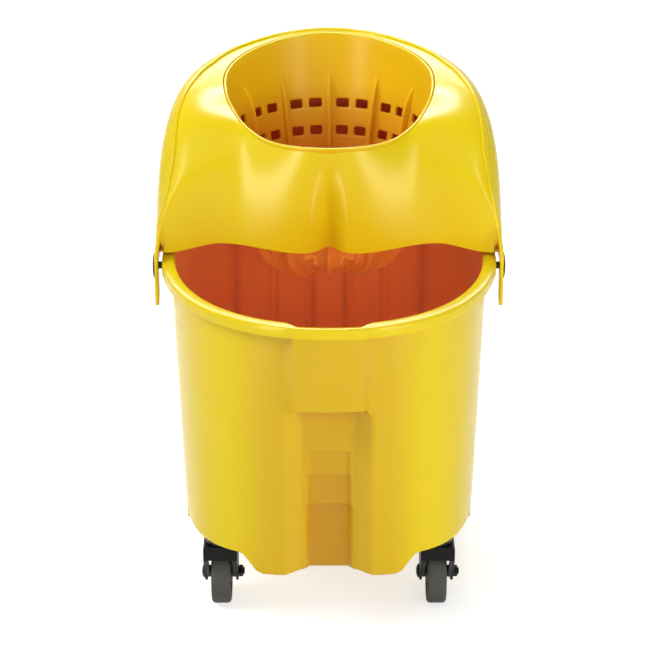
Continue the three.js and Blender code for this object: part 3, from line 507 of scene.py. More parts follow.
def wall_row(z, inset):
    """One row of the bucket's wall at a height, with its recesses, channel and grip plate."""
    half_width, half_depth, roundness = oval_sizes(z)
    x, y = oval_points(half_width - inset, half_depth - inset, roundness)
    front = y < 0
    near_front = front & (np.abs(x) <= FRONT_HALF)
    near_rear = ~front & (np.abs(x) <= REAR_HALF)
    plain = y.copy()
    y = np.where(near_front, plain + front_recess(x, z, inset), y)
    y = np.where(near_rear, plain - rear_recess(x, z, inset) * fade_out(x), y)
    rim_y = oval_points(RIM_HALF_WIDTH, RIM_HALF_DEPTH, RIM_ROUNDNESS)[1]
    wall = min(inset, GRIP_WALL)
    face = np.maximum(-GRIP_FACE_DEPTH, rim_y + GRIP_FACE_STEP) + wall
    plate = mix(plain, face, plate_share(x, z, wall))
    low = plate_low(x, wall)
    on_plate = ease(low - FILLET / 2, low + FILLET / 2, z)
    y = np.where(near_front & (plate < y), mix(y, plate, on_plate), y)
    return np.stack([x, y, np.full_like(x, z)], -1)


def fade_out(x):
    """Fades the rear wall's shapes out towards the last upright plane."""
    return 1 - ease(REAR_HALF - REAR_RECESS_DEPTH, REAR_HALF, np.abs(x))


def under_height(x, y):
    """The underside's height: raised pads at the four corners, with ramps down to the floor."""
    across = ease(PAD_INNER_EDGE, PAD_INNER_EDGE + PAD_HEIGHT - FOOT_HEIGHT, np.abs(x))
    along = ease(PAD_START - PAD_RAMP, PAD_START, np.abs(y))
    return FOOT_HEIGHT + (PAD_HEIGHT - FOOT_HEIGHT) * across * along


def rim_row(inset, z, plate_limit):
    """One row of the rim at an inset from its outline; over the grip plate it stands a little outside it."""
    x, y = oval_points(RIM_HALF_WIDTH - inset, RIM_HALF_DEPTH - inset, RIM_ROUNDNESS)
    proud = GRIP_BAND_STEP * (1 - min(inset / RIM_BAND_WALL, 1))
    y = np.where(y < 0, np.minimum(y, plate_limit - proud), y)
    return np.stack([x, y, np.full_like(x, z)], -1)


def crown_drop(inset):
    """How far the rim's top falls towards its outer edge: the square of the share of the way out."""
    return RIM_CROWN * np.clip(1 - inset / RIM_STAND_OFF, 0, 1) ** 2


def wall_heights(low, high, inset):
    """Row heights up a wall: even steps, and close rows where the channel and the plate have edges on it."""
    edges = [top + inset for top in CHANNEL_STEP_TOPS]
    edges += [GRIP_BOTTOM + min(inset, GRIP_WALL), REAR_CHANNEL_TOP]
    close = [edge + shift * FILLET / 2 for edge in edges for shift in (-2, -1, 0, 1, 2)]
    even = np.linspace(low, high, WALL_ROWS)
    return np.unique(np.round(np.concatenate([even, close]), 5))


def stretched_row(z, inset, raise_by, top):
    """A wall row whose points below the raised corners are lifted to the underside's height there."""
    row = wall_row(z, inset)
    low = under_height(row[:, 0], row[:, 1]) + raise_by
    share = (top - z) / (top - FOOT_HEIGHT - raise_by)
    row[:, 2] = top - (top - low) * share
    return row


def shrunk_rows(row, shares, height):
    """Rows drawn in towards the middle by shares, lying on a height field."""
    out = []
    for share in shares:
        x = row[:, 0] * share
        y = row[:, 1] * share
        out.append(np.stack([x, y, height(x, y)], -1))
    return out


def bucket_rows():
    """The rows of the bucket's closed skin, and how many are outside: from the middle of its underside up
    the outer wall, over the rim band and the flange, and down the inner wall to the middle of its floor."""
    stretch_top = PAD_HEIGHT + RIM_STAND_OFF
    base = stretched_row(FOOT_HEIGHT, 0, 0, stretch_top)
    rows = shrunk_rows(base, np.linspace(0, 1, UNDER_RINGS)[:-1], under_height)
    for turn in np.linspace(0, np.pi / 2, 5):
        inset = BASE_ROUNDING * (1 - math.sin(turn))
        rows.append(stretched_row(FOOT_HEIGHT + BASE_ROUNDING * (1 - math.cos(turn)), inset, 0, stretch_top))
    for z in np.linspace(FOOT_HEIGHT + BASE_ROUNDING, stretch_top, 8)[1:]:
        rows.append(stretched_row(z, 0, 0, stretch_top))
    under_flange = RIM_TOP - RIM_FLANGE_WALL
    band_foot = RIM_TOP - RIM_BAND_HEIGHT
    half_wall = RIM_BAND_WALL / 2
    limit = wall_row(under_flange, 0)[:, 1]
    on_plate = (limit < -RIM_HALF_DEPTH + RIM_BAND_WALL) & (np.abs(base[:, 0]) < GRIP_HALF_WIDTH)
    wall_top = np.where(on_plate, band_foot + half_wall, under_flange)
    for z in wall_heights(stretch_top, under_flange, 0)[1:]:
        row = wall_row(z, 0)
        row[:, 2] = np.minimum(row[:, 2], wall_top)
        rows.append(row)
    under = rim_row(RIM_BAND_WALL, under_flange, limit)
    under[:, 2] = wall_top
    rows.append(under)
    rows.append(rim_row(RIM_BAND_WALL, band_foot + half_wall, limit))
    for turn in np.linspace(0, np.pi, 7):
        drop = half_wall * math.sin(turn)
        rows.append(rim_row(half_wall * (1 + math.cos(turn)), band_foot + half_wall - drop, limit))
    for turn in np.linspace(0, np.pi / 2, 6):
        lift = RIM_ROUNDING * (1 - math.sin(turn))
        inset = RIM_ROUNDING * (1 - math.cos(turn))
        rows.append(rim_row(inset, RIM_TOP - lift - crown_drop(inset), limit))
    outer_count = len(rows)
    inner_top = wall_row(RIM_TOP - RIM_ROUNDING, BUCKET_WALL)
    for inset in np.linspace(RIM_ROUNDING, RIM_STAND_OFF + BUCKET_WALL - RIM_ROUNDING, 7)[1:]:
        rows.append(rim_row(inset, RIM_TOP - crown_drop(inset), inner_top[:, 1] - RIM_ROUNDING))
    for turn in np.linspace(0, np.pi / 2, 5)[1:]:
        inset = RIM_STAND_OFF + BUCKET_WALL - RIM_ROUNDING * (1 - math.sin(turn))
        lift = RIM_ROUNDING * (1 - math.cos(turn))
        limit = inner_top[:, 1] - RIM_ROUNDING * (1 - math.sin(turn))
        rows.append(rim_row(inset, RIM_TOP - lift, limit))
    inner_stretch = stretch_top + BUCKET_WALL
    for z in wall_heights(inner_stretch, RIM_TOP - RIM_ROUNDING, BUCKET_WALL)[::-1][1:]:
        rows.append(wall_row(z, BUCKET_WALL))
    for z in np.linspace(inner_stretch, FOOT_HEIGHT + BUCKET_WALL * 2, 7)[1:]:
        rows.append(stretched_row(z, BUCKET_WALL, BUCKET_WALL, inner_stretch))
    for turn in np.linspace(0, np.pi / 2, 5)[1:]:
        inset = BUCKET_WALL + BUCKET_WALL * (1 - math.cos(turn))
        z = FOOT_HEIGHT + BUCKET_WALL * (2 - math.sin(turn))
        rows.append(stretched_row(z, inset, BUCKET_WALL, inner_stretch))

    def floor_height(x, y):
        """The floor's height inside: the underside's and a wall's thickness."""
        return under_height(x, y) + BUCKET_WALL

    rows += shrunk_rows(rows[-1], np.linspace(1, 0, FLOOR_RINGS)[1:], floor_height)
    return rows, outer_count


def bucket_masks(points, outer_count):
    """The bucket's three masks for painted shade. Inside: 1 on the inner wall, rising below the rim, for the
    painted orange shade and glow inside. The front's painted shade: the front recess's depth as a share,
    more under the plate, and a shade that fades out round the front's middle. Fold: a bell curve at each
    upright edge inside the rear wall, for painted shade along the folds."""
    across, y, z = np.abs(points[..., 0]), points[..., 1], points[..., 2]
    inner = np.arange(len(points))[:, None] >= outer_count
    inside = inner * np.clip((RIM_TOP - z) / RIM_BAND_HEIGHT, 0, 1)
    drawn = np.where(across < FRONT_HALF, front_recess(across, z, 0), 0)
    drawn *= 1 - plate_share(across, z, 0) * (z > GRIP_BOTTOM)
    drawn /= RECESS_DEPTH + CHANNEL_STEP_DEPTH * len(CHANNEL_STEP_TOPS)
    drawn *= 1 + PLATE_SHADE * ease(GRIP_BOTTOM - PLATE_SHADE_REACH, GRIP_BOTTOM, z)
    middle = MIDDLE_SHADE * (1 - ease(FRONT_HALF, 2 * FRONT_HALF, across)) * (z < RIM_TOP - RIM_BAND_HEIGHT)
    front_shade = np.maximum(drawn, middle) * (y < 0) * ~inner
    place, width, strength = np.array(INNER_FOLD_SHADES).T
    fold = (strength * np.exp(-(((across[..., None] - place) / width) ** 2))).sum(-1)
    return {"inside": inside, "front_shade": front_shade, "fold": fold * inside * (y > 0)}


def make_bucket(material):
    """The bucket as one closed skin, its rows joined one to the next."""
    rows, outer_count = bucket_rows()
    points = np.stack(rows)
    part = (points, grid_faces(len(rows), points.shape[1], True))
    piece = make_piece("bucket_shell", [part], material, attributes=bucket_masks(points, outer_count))
    return dress(piece, "bucket", "yellow_plastic", "bucket")


def make_bucket_bosses(material):
    """The lugs under the rim that carry the pivots, and the bosses on the floor that hold the stems."""
    lug = np.array([(0, LUG_INSIDE), (LUG_RADIUS - FILLET, LUG_INSIDE), (LUG_RADIUS, LUG_INSIDE + FILLET),
                    (LUG_RADIUS, RIM_HALF_WIDTH - FILLET), (0, RIM_HALF_WIDTH - FILLET)])
    lugs = [turned(lug * (1, side), (0, PIVOT_DEPTH, PIVOT_HEIGHT), "x", 48) for side in (1, -1)]
    for points, _ in lugs:
        points[..., 2] = np.minimum(points[..., 2], RIM_TOP - RIM_ROUNDING)
    boss = [(0, BOSS_TOP), (BOSS_RADIUS - FILLET, BOSS_TOP), (BOSS_RADIUS, BOSS_TOP - FILLET),
            (BOSS_RADIUS, PAD_HEIGHT + FILLET), (0, PAD_HEIGHT + FILLET)]
    bosses = [turned(boss, (x, y, 0), "z", 32) for _, x, y in CASTER_PLACES]
    counts = [points[..., 0].size for points, _ in lugs + bosses]
    # The bosses stand inside the bucket and take its painted orange shade.
    inside = np.repeat([0] * len(lugs) + [1] * len(bosses), counts)
    piece = make_piece("bucket_bosses", lugs + bosses, material, attributes={"inside": inside})
    return dress(piece, "bucket", "yellow_plastic")


# The hood is a surface about the cone's axis: an angle from the front and a share of the climb.
CORNER_ANGLE = math.degrees(math.atan2(HOOD_HALF_WIDTH, CONE_DEPTH + CORNER_DEPTH))
LOOKUP_STEPS = 721


def smoothed(places, values, width):
    """A table of values joined by straight lines and then blurred by a bell curve of a width in degrees."""
    turn = np.linspace(-180, 360, 3 * LOOKUP_STEPS)
    line = np.interp(np.where(turn > 180, 360 - turn, np.abs(turn)), places, values)
    reach = np.arange(-3 * width, 3 * width + 0.25, 0.25)
    bell = np.exp(-((reach / width) ** 2))
    blurred = np.convolve(line, bell / bell.sum(), "same")
    return turn, blurred


FULLNESS_TABLE = smoothed(FULLNESS_PLACES, FULLNESS_SHARES, 7)
RISE_TABLE = smoothed(RIM_RISE_PLACES, RIM_RISE_SHARES, 8)
LIP_TABLE = smoothed(LIP_PLACES, LIP_SHARES, 1)


def cone_inner_radius(z):
    """The cone's inner radius at a height: a straight taper."""
    return CONE_RADIUS + (z - CONE_RADIUS_HEIGHT) * CONE_SLOPE_SHARE


def opening_height(turn):
    """The opening's height: from the nose in front to the crest behind, by a smoothed table of shares."""
    return mix(NOSE_HEIGHT, CREST_HEIGHT, np.interp(np.abs(turn), *RISE_TABLE))


def front_line(x):
    """The hood's lower front edge: a bulge round the cone, a valley on each side, the corners forward."""
    rise = VALLEY_RISE * ease(BULGE_HALF_WIDTH, VALLEY_HALF_WIDTH, x)
    fall = (VALLEY_RISE - BULGE_DEPTH + CORNER_DEPTH) * ease(VALLEY_HALF_WIDTH, CORNER_HALF_WIDTH, x)
    return -BULGE_DEPTH + rise - fall


def halved(test, low, high):
    """The place between low and high where a test stops holding, found by halving whole arrays."""
    for _ in range(40):
        middle = (low + high) / 2
        holds = test(middle)
        low = np.where(holds, middle, low)
        high = np.where(holds, high, middle)
    return low


def plan_reach(turn, inset):
    """How far the hood's oval and its front line lie from the cone's axis, each found by halving."""
    s, c = np.sin(np.radians(turn)), np.cos(np.radians(turn))
    far = np.full_like(turn, (HOOD_HALF_WIDTH + HOOD_REAR_DEPTH) * 2)

    def in_oval(radius):
        """Whether the powers of x and y add up to less than one there."""
        across = (np.abs(radius * s) / (HOOD_HALF_WIDTH - inset)) ** RIM_ROUNDNESS
        along = (np.abs(CONE_DEPTH - radius * c) / (HOOD_REAR_DEPTH - inset)) ** RIM_ROUNDNESS
        return across + along < 1

    def behind_front(radius):
        """Whether that place lies behind the front line."""
        return CONE_DEPTH - radius * c > front_line(np.abs(radius * s)) + inset

    return halved(in_oval, np.zeros_like(turn), far), halved(behind_front, np.zeros_like(turn), far)


def plan_radius(reach, climb):
    """The oval and the front line joined by a power of their ratio: high at the foot, low above."""
    oval, front = reach
    sharp, soft = CORNER_POWERS
    power = sharp * (soft / sharp) ** ease(*CORNER_FADE, climb)
    return oval * (1 + (oval / front) ** power) ** (-1 / power)


def hood_point(turn, share, inset, reach=None):
    """A point of the hood: an arc whose x and y powers add up to one, from its foot in to the opening."""
    away = np.abs(turn)
    angle = np.radians(away)
    fullness = np.interp(away, *FULLNESS_TABLE)
    top = opening_height(away) - inset
    swing = share * np.pi / 2
    climb = np.sin(swing) ** (2 / fullness)
    inward = 1 - np.cos(swing) ** (2 / fullness)
    outer = plan_radius(plan_reach(away, inset) if reach is None else reach, climb)
    across = np.where(away < 90, outer * np.sin(angle), outer)
    flute = FLUTE_DEPTH * np.exp(-((across / FLUTE_HALF_WIDTH) ** 2)) * (1 - climb)
    radius = mix(outer, cone_inner_radius(top), inward) - flute
    height = mix(HOOD_WALL_FOOT, top, climb)
    return radius, height


def placed(turn, radius, height):
    """Points at angles, radii and heights about the cone's axis."""
    angle = np.radians(turn)
    return np.stack([radius * np.sin(angle), CONE_DEPTH - radius * np.cos(angle), height], -1)


def hood_turns():
    """The hood's columns, close together at the flute, the notches and the front corners."""
    corner = CORNER_ANGLE + np.array([-1, -0.55, -0.25, -0.08, 0, 0.08, 0.25, 0.55, 1, 1.6])
    arcs = [np.linspace(0, 14, 29), np.linspace(14, 56, 43), np.linspace(56, 58.4, 17), corner]
    half = np.unique(np.round(np.concatenate([*arcs, np.linspace(61, 180, 86)]), 4))
    return np.concatenate([half, -half[-2:0:-1]])


def hood_foot(turn, foot):
    """The height of the hood's lower edge: level in front, with a round notch by each ear, lower behind."""
    x = np.abs(foot * np.sin(np.radians(turn)))
    y = CONE_DEPTH - foot * np.cos(np.radians(turn))
    middle = (NOTCH_HALF_WIDTH + HOOD_HALF_WIDTH - EAR_WALL) / 2
    half = middle - NOTCH_HALF_WIDTH
    arch = np.sqrt(np.clip(1 - ((x - middle) / half) ** 2, 0, 1))
    in_front = np.abs(turn) <= CORNER_ANGLE
    notch = np.where(in_front, np.clip(arch * 3, 0, 1) * (NOTCH_TOP - HOOD_WALL_FOOT), 0)
    bow = ease(BULGE_HALF_WIDTH, VALLEY_HALF_WIDTH, x) - ease(VALLEY_HALF_WIDTH, CORNER_HALF_WIDTH, x)
    notch = np.maximum(notch, np.where(in_front, FRONT_ARCH_RISE * bow, 0))
    skirt = np.where(in_front | (y < -CORNER_DEPTH / 2), 0, HOOD_WALL_FOOT - HOOD_SKIRT_FOOT)
    return HOOD_WALL_FOOT + notch - skirt


def even_rows(turn, start, stop, inset, count):
    """Rows of the hood between two shares of the climb, spaced evenly along each column's curve."""
    fine = np.linspace(0, 1, 400)[:, None] ** 2
    reach = plan_reach(np.abs(turn), inset)
    share = start + (stop - start) * fine
    radius, height = hood_point(turn[None], share, inset, reach)
    step = np.hypot(np.diff(radius, axis=0), np.diff(height, axis=0))
    run = np.concatenate([np.zeros((1, len(turn))), np.cumsum(step, 0)])
    wanted = np.linspace(0, 1, count)[:, None] * run[-1]
    place = np.stack([np.interp(wanted[:, j], run[:, j], share[:, j]) for j in range(len(turn))], 1)
    radius, height = hood_point(turn[None], place, inset, reach)
    return placed(turn[None], radius, height)


def hood_skin(turn, inset, count):
    """One skin of the hood, from its lower edge up to the cone's outside."""
    reach = plan_reach(np.abs(turn), inset)
    low = hood_foot(turn, plan_radius(reach, 0))

    def below_edge(share):
        """Whether the hood at this share lies below its lower edge."""
        return hood_point(turn, share, inset, reach)[1] < low

    def outside_cone(share):
        """Whether the hood at this share is still outside the cone's wall."""
        radius, height = hood_point(turn, share, inset, reach)
        return radius > cone_inner_radius(height) + CONE_WALL + CONE_GAP

    start = np.where(low > HOOD_WALL_FOOT, halved(below_edge, np.zeros_like(turn), np.ones_like(turn)), 0)
    stop = halved(outside_cone, np.full_like(turn, 0.4), np.ones_like(turn))
    rows = even_rows(turn, start, stop, inset, count)
    drop = np.minimum(low, HOOD_WALL_FOOT) - HOOD_WALL_FOOT
    skirt = np.repeat(rows[:1], 4, 0)
    skirt[:, :, 2] += drop * np.linspace(1, 0.12, 4)[:, None]
    return np.concatenate([skirt, rows])


def make_hood(material):
    """The hood's shell: an outer and an inner skin with a rounded lower edge."""
    turn = hood_turns()
    outer = hood_skin(turn, 0, 60)
    inner = hood_skin(turn, HOOD_WALL, 40)
    edge = mix(outer[0], inner[0], 0.5)
    edge_rows = [mix(outer[0], edge, 0.35), mix(inner[0], edge, 0.35)]
    outer[0, :, 2] += HOOD_WALL / 4
    inner[0, :, 2] += HOOD_WALL / 4
    skin = np.concatenate([[edge_rows[0]], outer, inner[::-1], [edge_rows[1]]])
    rows, columns = skin.shape[:2]
    points = np.concatenate([skin, skin[:1]])
    # The inner skin is marked for painted orange shade, which shows through the cone's holes.
    inside = np.zeros(points.shape[:2])
    inside[len(outer) + 1:-1] = 1
    part = (points, grid_faces(rows + 1, columns, True))
    piece = make_piece("hood_shell", [part], material, sharp=50, attributes={"inside": inside})
    return dress(piece, "hood", "yellow_plastic", "hood")


def lip_frame():
    """The lip's line over the back from corner to corner, with the way towards the opening and outwards."""
    half = np.concatenate([np.linspace(LIP_PLACES[1], 64, 24), np.linspace(65, 180, 90)])
    turn = np.concatenate([half, -half[-2::-1]])
    share = np.interp(np.abs(turn), *LIP_TABLE)
    reach = plan_reach(np.abs(turn), 0)
    line = placed(turn, *hood_point(turn, share, 0, reach))
    ahead = placed(turn, *hood_point(turn, np.minimum(share + 0.02, 1), 0, reach))
    along = np.gradient(line, axis=0)
    along /= np.linalg.norm(along, axis=-1, keepdims=True)
    inward = ahead - line
    inward -= (inward * along).sum(-1, keepdims=True) * along
    inward /= np.linalg.norm(inward, axis=-1, keepdims=True)
    outward = np.cross(along, inward)
    outward *= np.sign((outward * (line - [0, CONE_DEPTH, HOOD_WALL_FOOT])).sum(-1, keepdims=True))
    return line, inward, outward


def make_lip(material):
    """The raised lip: one section, steep on the side of the opening, carried along the lip's line."""
    line, inward, outward = lip_frame()
    half = LIP_WIDTH / 2
    section = np.array([
        (-half, -LIP_SINK), (half, -LIP_SINK), (half, 0), (half * 0.97, LIP_HEIGHT * 0.7),
        (half * 0.85, LIP_HEIGHT * 0.95), (half * 0.6, LIP_HEIGHT), (0, LIP_HEIGHT * 0.86),
        (-half * 0.5, LIP_HEIGHT * 0.55), (-half * 0.85, LIP_HEIGHT * 0.12), (-half, -LIP_HEIGHT * 0.2),
    ])
    rings = line[:, None] + section[:, :1] * inward[:, None] + section[:, 1:] * outward[:, None]
    piece = make_piece("hood_lip", [swept(rings)], material, sharp=60)
    return dress(piece, "hood", "yellow_plastic")


def make_ears(material):
    """Both ears: a strip with a round foot that hangs outside the rim and leans in with the hood."""
    radius = EAR_WIDTH / 2
    quarter = np.linspace(0, np.pi / 2, 13)[1:]
    climb = np.linspace(EAR_FOOT + radius, EAR_TOP, 50)[1:]
    z = np.concatenate([EAR_FOOT + radius * (1 - np.cos(quarter)), climb])
    half = np.concatenate([radius * np.sin(quarter), np.full_like(climb, radius)])
    share = np.linspace(0, 0.6, 60) ** 3
    corner_x, corner_y, corner_z = placed(CORNER_ANGLE, *hood_point(CORNER_ANGLE + 0 * share, share, 0)).T
    lean = ease(HOOD_WALL_FOOT - HOOD_WALL, EAR_TOP, z)
    edge = EAR_WALL / 4
    front = mix(PIVOT_DEPTH - half, np.interp(z, corner_z, corner_y) - edge, lean)
    rear = mix(PIVOT_DEPTH + half, PIVOT_DEPTH + EAR_WIDTH, lean)
    outside = np.minimum(HOOD_HALF_WIDTH, np.interp(z, corner_z, corner_x) + edge)
    low = outside - EAR_WALL
    half = [low, low + edge, outside - edge, outside]
    across = np.stack(half + half[::-1], 1)
    along = np.stack([front + edge, front, front, front + edge, rear - edge, rear, rear, rear - edge], 1)
    height = np.repeat(z[:, None], 8, 1)
    parts = [swept(np.stack([side * across, along, height], -1)) for side in (1, -1)]
    piece = make_piece("hood_ears", parts, material, sharp=50)
    return dress(piece, "hood", "yellow_plastic")


def make_ledge(material):
    """The flat ledge inside the hood's foot, which rests on the bucket's rim from the pivots backwards."""
    low = RIM_TOP + HOOD_REST_GAP
    top = low + HOOD_LEDGE_WALL
    near, far = HOOD_WALL / 2, HOOD_WALL + HOOD_LEDGE_WIDTH
    turn = np.radians(np.linspace(-5, 185, 160))
    s, c = np.sin(turn), np.cos(turn)
    rows = []
    for inset, height in ((near, low), (far, low), (far, top), (near, top)):
        x = (HOOD_HALF_WIDTH - inset) * np.sign(c) * np.abs(c) ** (2 / RIM_ROUNDNESS)
        y = (HOOD_REAR_DEPTH - inset) * np.sign(s) * np.abs(s) ** (2 / RIM_ROUNDNESS)
        rows.append(np.stack([x, np.maximum(y, -CORNER_DEPTH / 2), np.full_like(x, height)], -1))
    piece = make_piece("hood_ledge", [swept(np.stack(rows, 1))], material)
    return dress(piece, "hood", "yellow_plastic")


# The cone's wall has twelve bays between its ribs, and each bay has two cells in a row, one to a hole.
BAY = 360 / RIB_COUNT
CELL_COLUMNS = 8
CELL_ROWS = 6
CELL_HALF_HEIGHT = 0.0095


def bay_turns():
    """The column angles of one bay about its middle, from rib to rib."""
    cells = np.linspace(-2 * HOLE_OFFSET_ANGLE, 2 * HOLE_OFFSET_ANGLE, 2 * CELL_COLUMNS + 1)
    return np.concatenate([[-BAY / 2], cells, [BAY / 2]])


def wall_part(turn, height):
    """A grid on the cone's inner wall at angles and heights of one shape."""
    turn, height = np.broadcast_arrays(turn, height)
    points = placed(turn, cone_inner_radius(height), height)
    return points, grid_faces(*turn.shape, False)


def pierced_cells(middle_height):
    """A row of cells, each a frame of quads between the cell's outline and a round-cornered hole."""
    side = np.linspace(-1, 1, CELL_COLUMNS + 1)[:-1]
    upright = np.linspace(-1, 1, CELL_ROWS + 1)[:-1]
    u = np.concatenate([side, np.ones(CELL_ROWS), -side, -np.ones(CELL_ROWS)])
    v = np.concatenate([-np.ones(CELL_COLUMNS), upright, np.ones(CELL_COLUMNS), -upright])
    hole_u, hole_v = u * HOLE_WIDTH / 2, v * HOLE_HEIGHT / 2
    beyond_u = np.maximum(np.abs(hole_u) - (HOLE_WIDTH / 2 - HOLE_ROUNDING), 0)
    beyond_v = np.maximum(np.abs(hole_v) - (HOLE_HEIGHT / 2 - HOLE_ROUNDING), 0)
    reach = np.hypot(beyond_u, beyond_v)
    shrink = np.where((beyond_u > 0) & (beyond_v > 0), HOLE_ROUNDING / np.maximum(reach, 1e-9), 1)
    hole_u = np.sign(hole_u) * (np.abs(hole_u) - beyond_u * (1 - shrink))
    hole_v = np.sign(hole_v) * (np.abs(hole_v) - beyond_v * (1 - shrink))
    ring_turn = np.stack([u * HOLE_OFFSET_ANGLE, np.degrees(hole_u / CONE_RADIUS)])
    ring_height = np.stack([v * CELL_HALF_HEIGHT, hole_v])
    parts = []
    for bay in range(RIB_COUNT):
        for side in (-1, 1):
            middle = (bay + 0.5) * BAY + side * HOLE_OFFSET_ANGLE
            height = middle_height + ring_height
            points = placed(middle + ring_turn, cone_inner_radius(height), height)
            parts.append((points, grid_faces(2, len(u), True)))
    return parts


def bowl_curve(angle, offset):
    """The bowl's side view: a quarter of an oval from the floor up to the wall, moved outwards."""
    outer_top = cone_inner_radius(CONE_BOWL_TOP) + CONE_WALL
    radius = CONE_FLOOR_RADIUS + (outer_top - CONE_FLOOR_RADIUS + offset) * np.sin(angle)
    height = CONE_FLOOR + (CONE_BOWL_TOP - CONE_FLOOR) * (1 - np.cos(angle)) - offset * np.cos(angle)
    return radius, height


def bowl_parts():
    """The bowl's inner skin, bay by bay, with its slots left open, and the ring of floor round the drain."""
    local = bay_turns()
    turn = np.linspace(np.pi / 2, 0, 14)
    radius, height = bowl_curve(turn, -CONE_WALL)
    slot = np.degrees(np.arcsin(SLOT_HALF_WIDTH / radius))[:, None]
    middle = HOLE_OFFSET_ANGLE
    inside = np.sign(local) * np.minimum(np.abs(local), middle) / middle * slot
    beyond = np.clip((np.abs(local) - middle) / (BAY / 2 - middle), 0, 1)
    angles = np.where(np.abs(local) <= middle, inside, np.sign(local) * mix(slot, BAY / 2, beyond))
    angles[0] = local
    faces = grid_faces(len(turn), len(local), False).reshape(len(turn) - 1, -1, 4)
    open_column = np.abs((local[1:] + local[:-1]) / 2) < middle
    keep = np.ones(faces.shape[:2], bool)
    keep[1:, open_column] = False
    faces = faces[keep]
    parts = []
    ring = np.linspace(CONE_FLOOR_RADIUS, CONE_DRAIN_RADIUS, 6)[:, None]
    for bay in range(RIB_COUNT):
        shift = (bay + 0.5) * BAY
        parts.append((placed(shift + angles, radius[:, None], height[:, None] + 0 * angles), faces))
        floor_turn = np.repeat(shift + angles[-1:], 6, 0)
        floor = placed(floor_turn, ring, np.full_like(floor_turn, CONE_FLOOR + CONE_WALL))
        parts.append((floor, grid_faces(6, len(local), False)))
    return parts


def make_cone(material):
    """The wringer cone: a pierced tapering wall and a slotted bowl, one sheet thickened outwards."""
    local = bay_turns()
    parts = []
    for bay in range(RIB_COUNT):
        turn = ((bay + 0.5) * BAY + local)[None]
        away = np.abs((turn + 180) % 360 - 180)
        top = opening_height(away) - CONE_WALL / 2
        row_tops = [HOLE_ROW_TOP - k * HOLE_ROW_PITCH for k in range(HOLE_ROW_COUNT)]
        share = np.linspace(0, 1, 9)[:, None]
        parts.append(wall_part(turn, mix(row_tops[0] + CELL_HALF_HEIGHT, top, share)))
        for k, middle in enumerate(row_tops):
            rise = np.linspace(0, 1, CELL_ROWS + 1)[:, None]
            strip = mix(middle - CELL_HALF_HEIGHT, middle + CELL_HALF_HEIGHT, rise)
            parts.append(wall_part(turn[:, :2], strip))
            parts.append(wall_part(turn[:, -2:], strip))
            low = row_tops[k + 1] + CELL_HALF_HEIGHT if k + 1 < HOLE_ROW_COUNT else CONE_BOWL_TOP
            parts.append(wall_part(turn, np.linspace(low, middle - CELL_HALF_HEIGHT, 7)[:, None]))
    for k in range(HOLE_ROW_COUNT):
        parts += pierced_cells(HOLE_ROW_TOP - k * HOLE_ROW_PITCH)
    parts += bowl_parts()
    piece = make_piece("cone_wall", parts, material)
    thicken = piece.modifiers.new("wall", "SOLIDIFY")
    thicken.thickness = CONE_WALL
    thicken.offset = face_side(piece)
    soften_edges(piece, METAL_EDGE, 2)
    return dress(piece, "hood", "amber_plastic", "wringer_cone")


def face_side(piece):
    """Which way a sheet about the cone's axis grows outwards: 1 along its normals, -1 against them."""
    faces = piece.data.polygons
    middles, normals = np.empty((2, len(faces) * 3), np.float32)
    faces.foreach_get("center", middles)
    faces.foreach_get("normal", normals)
    middles, normals = middles.reshape(-1, 3), normals.reshape(-1, 3)
    outward = ((middles - [0, CONE_DEPTH + MIDDLE_Y, 0]) * normals)[:, :2].sum(1)
    return 1.0 if outward[middles[:, 2] > CONE_BOWL_TOP].sum() > 0 else -1.0


def rib_outline(turn):
    """A rib's side view in radius and height: inside the wall and the bowl, and a fin outside the bowl."""
    tip = min(RIB_TOP, opening_height(turn) - RIB_TOP_ROOM)
    down = np.linspace(0, 1, 9)
    height = tip - RIB_TIP * down
    taper = pairs(cone_inner_radius(height) - RIB_HEIGHT * np.sin(down * np.pi / 2) ** 0.8, height)
    height = np.linspace(tip - RIB_TIP, CONE_BOWL_TOP, 8)[1:]
    wall = pairs(cone_inner_radius(height) - RIB_HEIGHT, height)
    bowl = pairs(*bowl_curve(np.linspace(np.pi / 2, 0, 14)[1:], -CONE_WALL - RIB_HEIGHT))
    foot = CONE_FLOOR_RADIUS - RIB_HEIGHT
    under = [(foot, CONE_FLOOR + CONE_WALL), (foot, CONE_FLOOR - FIN_HEIGHT * 0.8),
             (foot + FIN_CORNER, CONE_FLOOR - FIN_HEIGHT)]
    fin = pairs(*bowl_curve(np.linspace(0, np.pi / 2 * 0.9, 14), FIN_HEIGHT))
    height = np.linspace(CONE_BOWL_TOP + FIN_HEIGHT * 2, tip, 12)
    back = pairs(cone_inner_radius(height) + CONE_WALL / 2, height)
    return np.concatenate([taper, wall, bowl, under, fin, back])


def make_ribs(material):
    """The twelve ribs: each outline given its width across the plane that holds the cone's axis."""
    parts = []
    for i in range(RIB_COUNT):
        turn = i * BAY
        angle = math.radians(turn)
        outline = rib_outline(min(turn, 360 - turn))
        base = placed(turn, outline[:, 0], outline[:, 1])
        aside = np.array([math.cos(angle), math.sin(angle), 0]) * RIB_WIDTH / 2
        parts.append((np.stack([base - aside, base + aside]), grid_faces(2, len(outline), True)))
    piece = make_piece("cone_ribs", parts, material, caps=True)
    soften_edges(piece, RIB_EDGE, 3)
    return dress(piece, "hood", "amber_plastic")


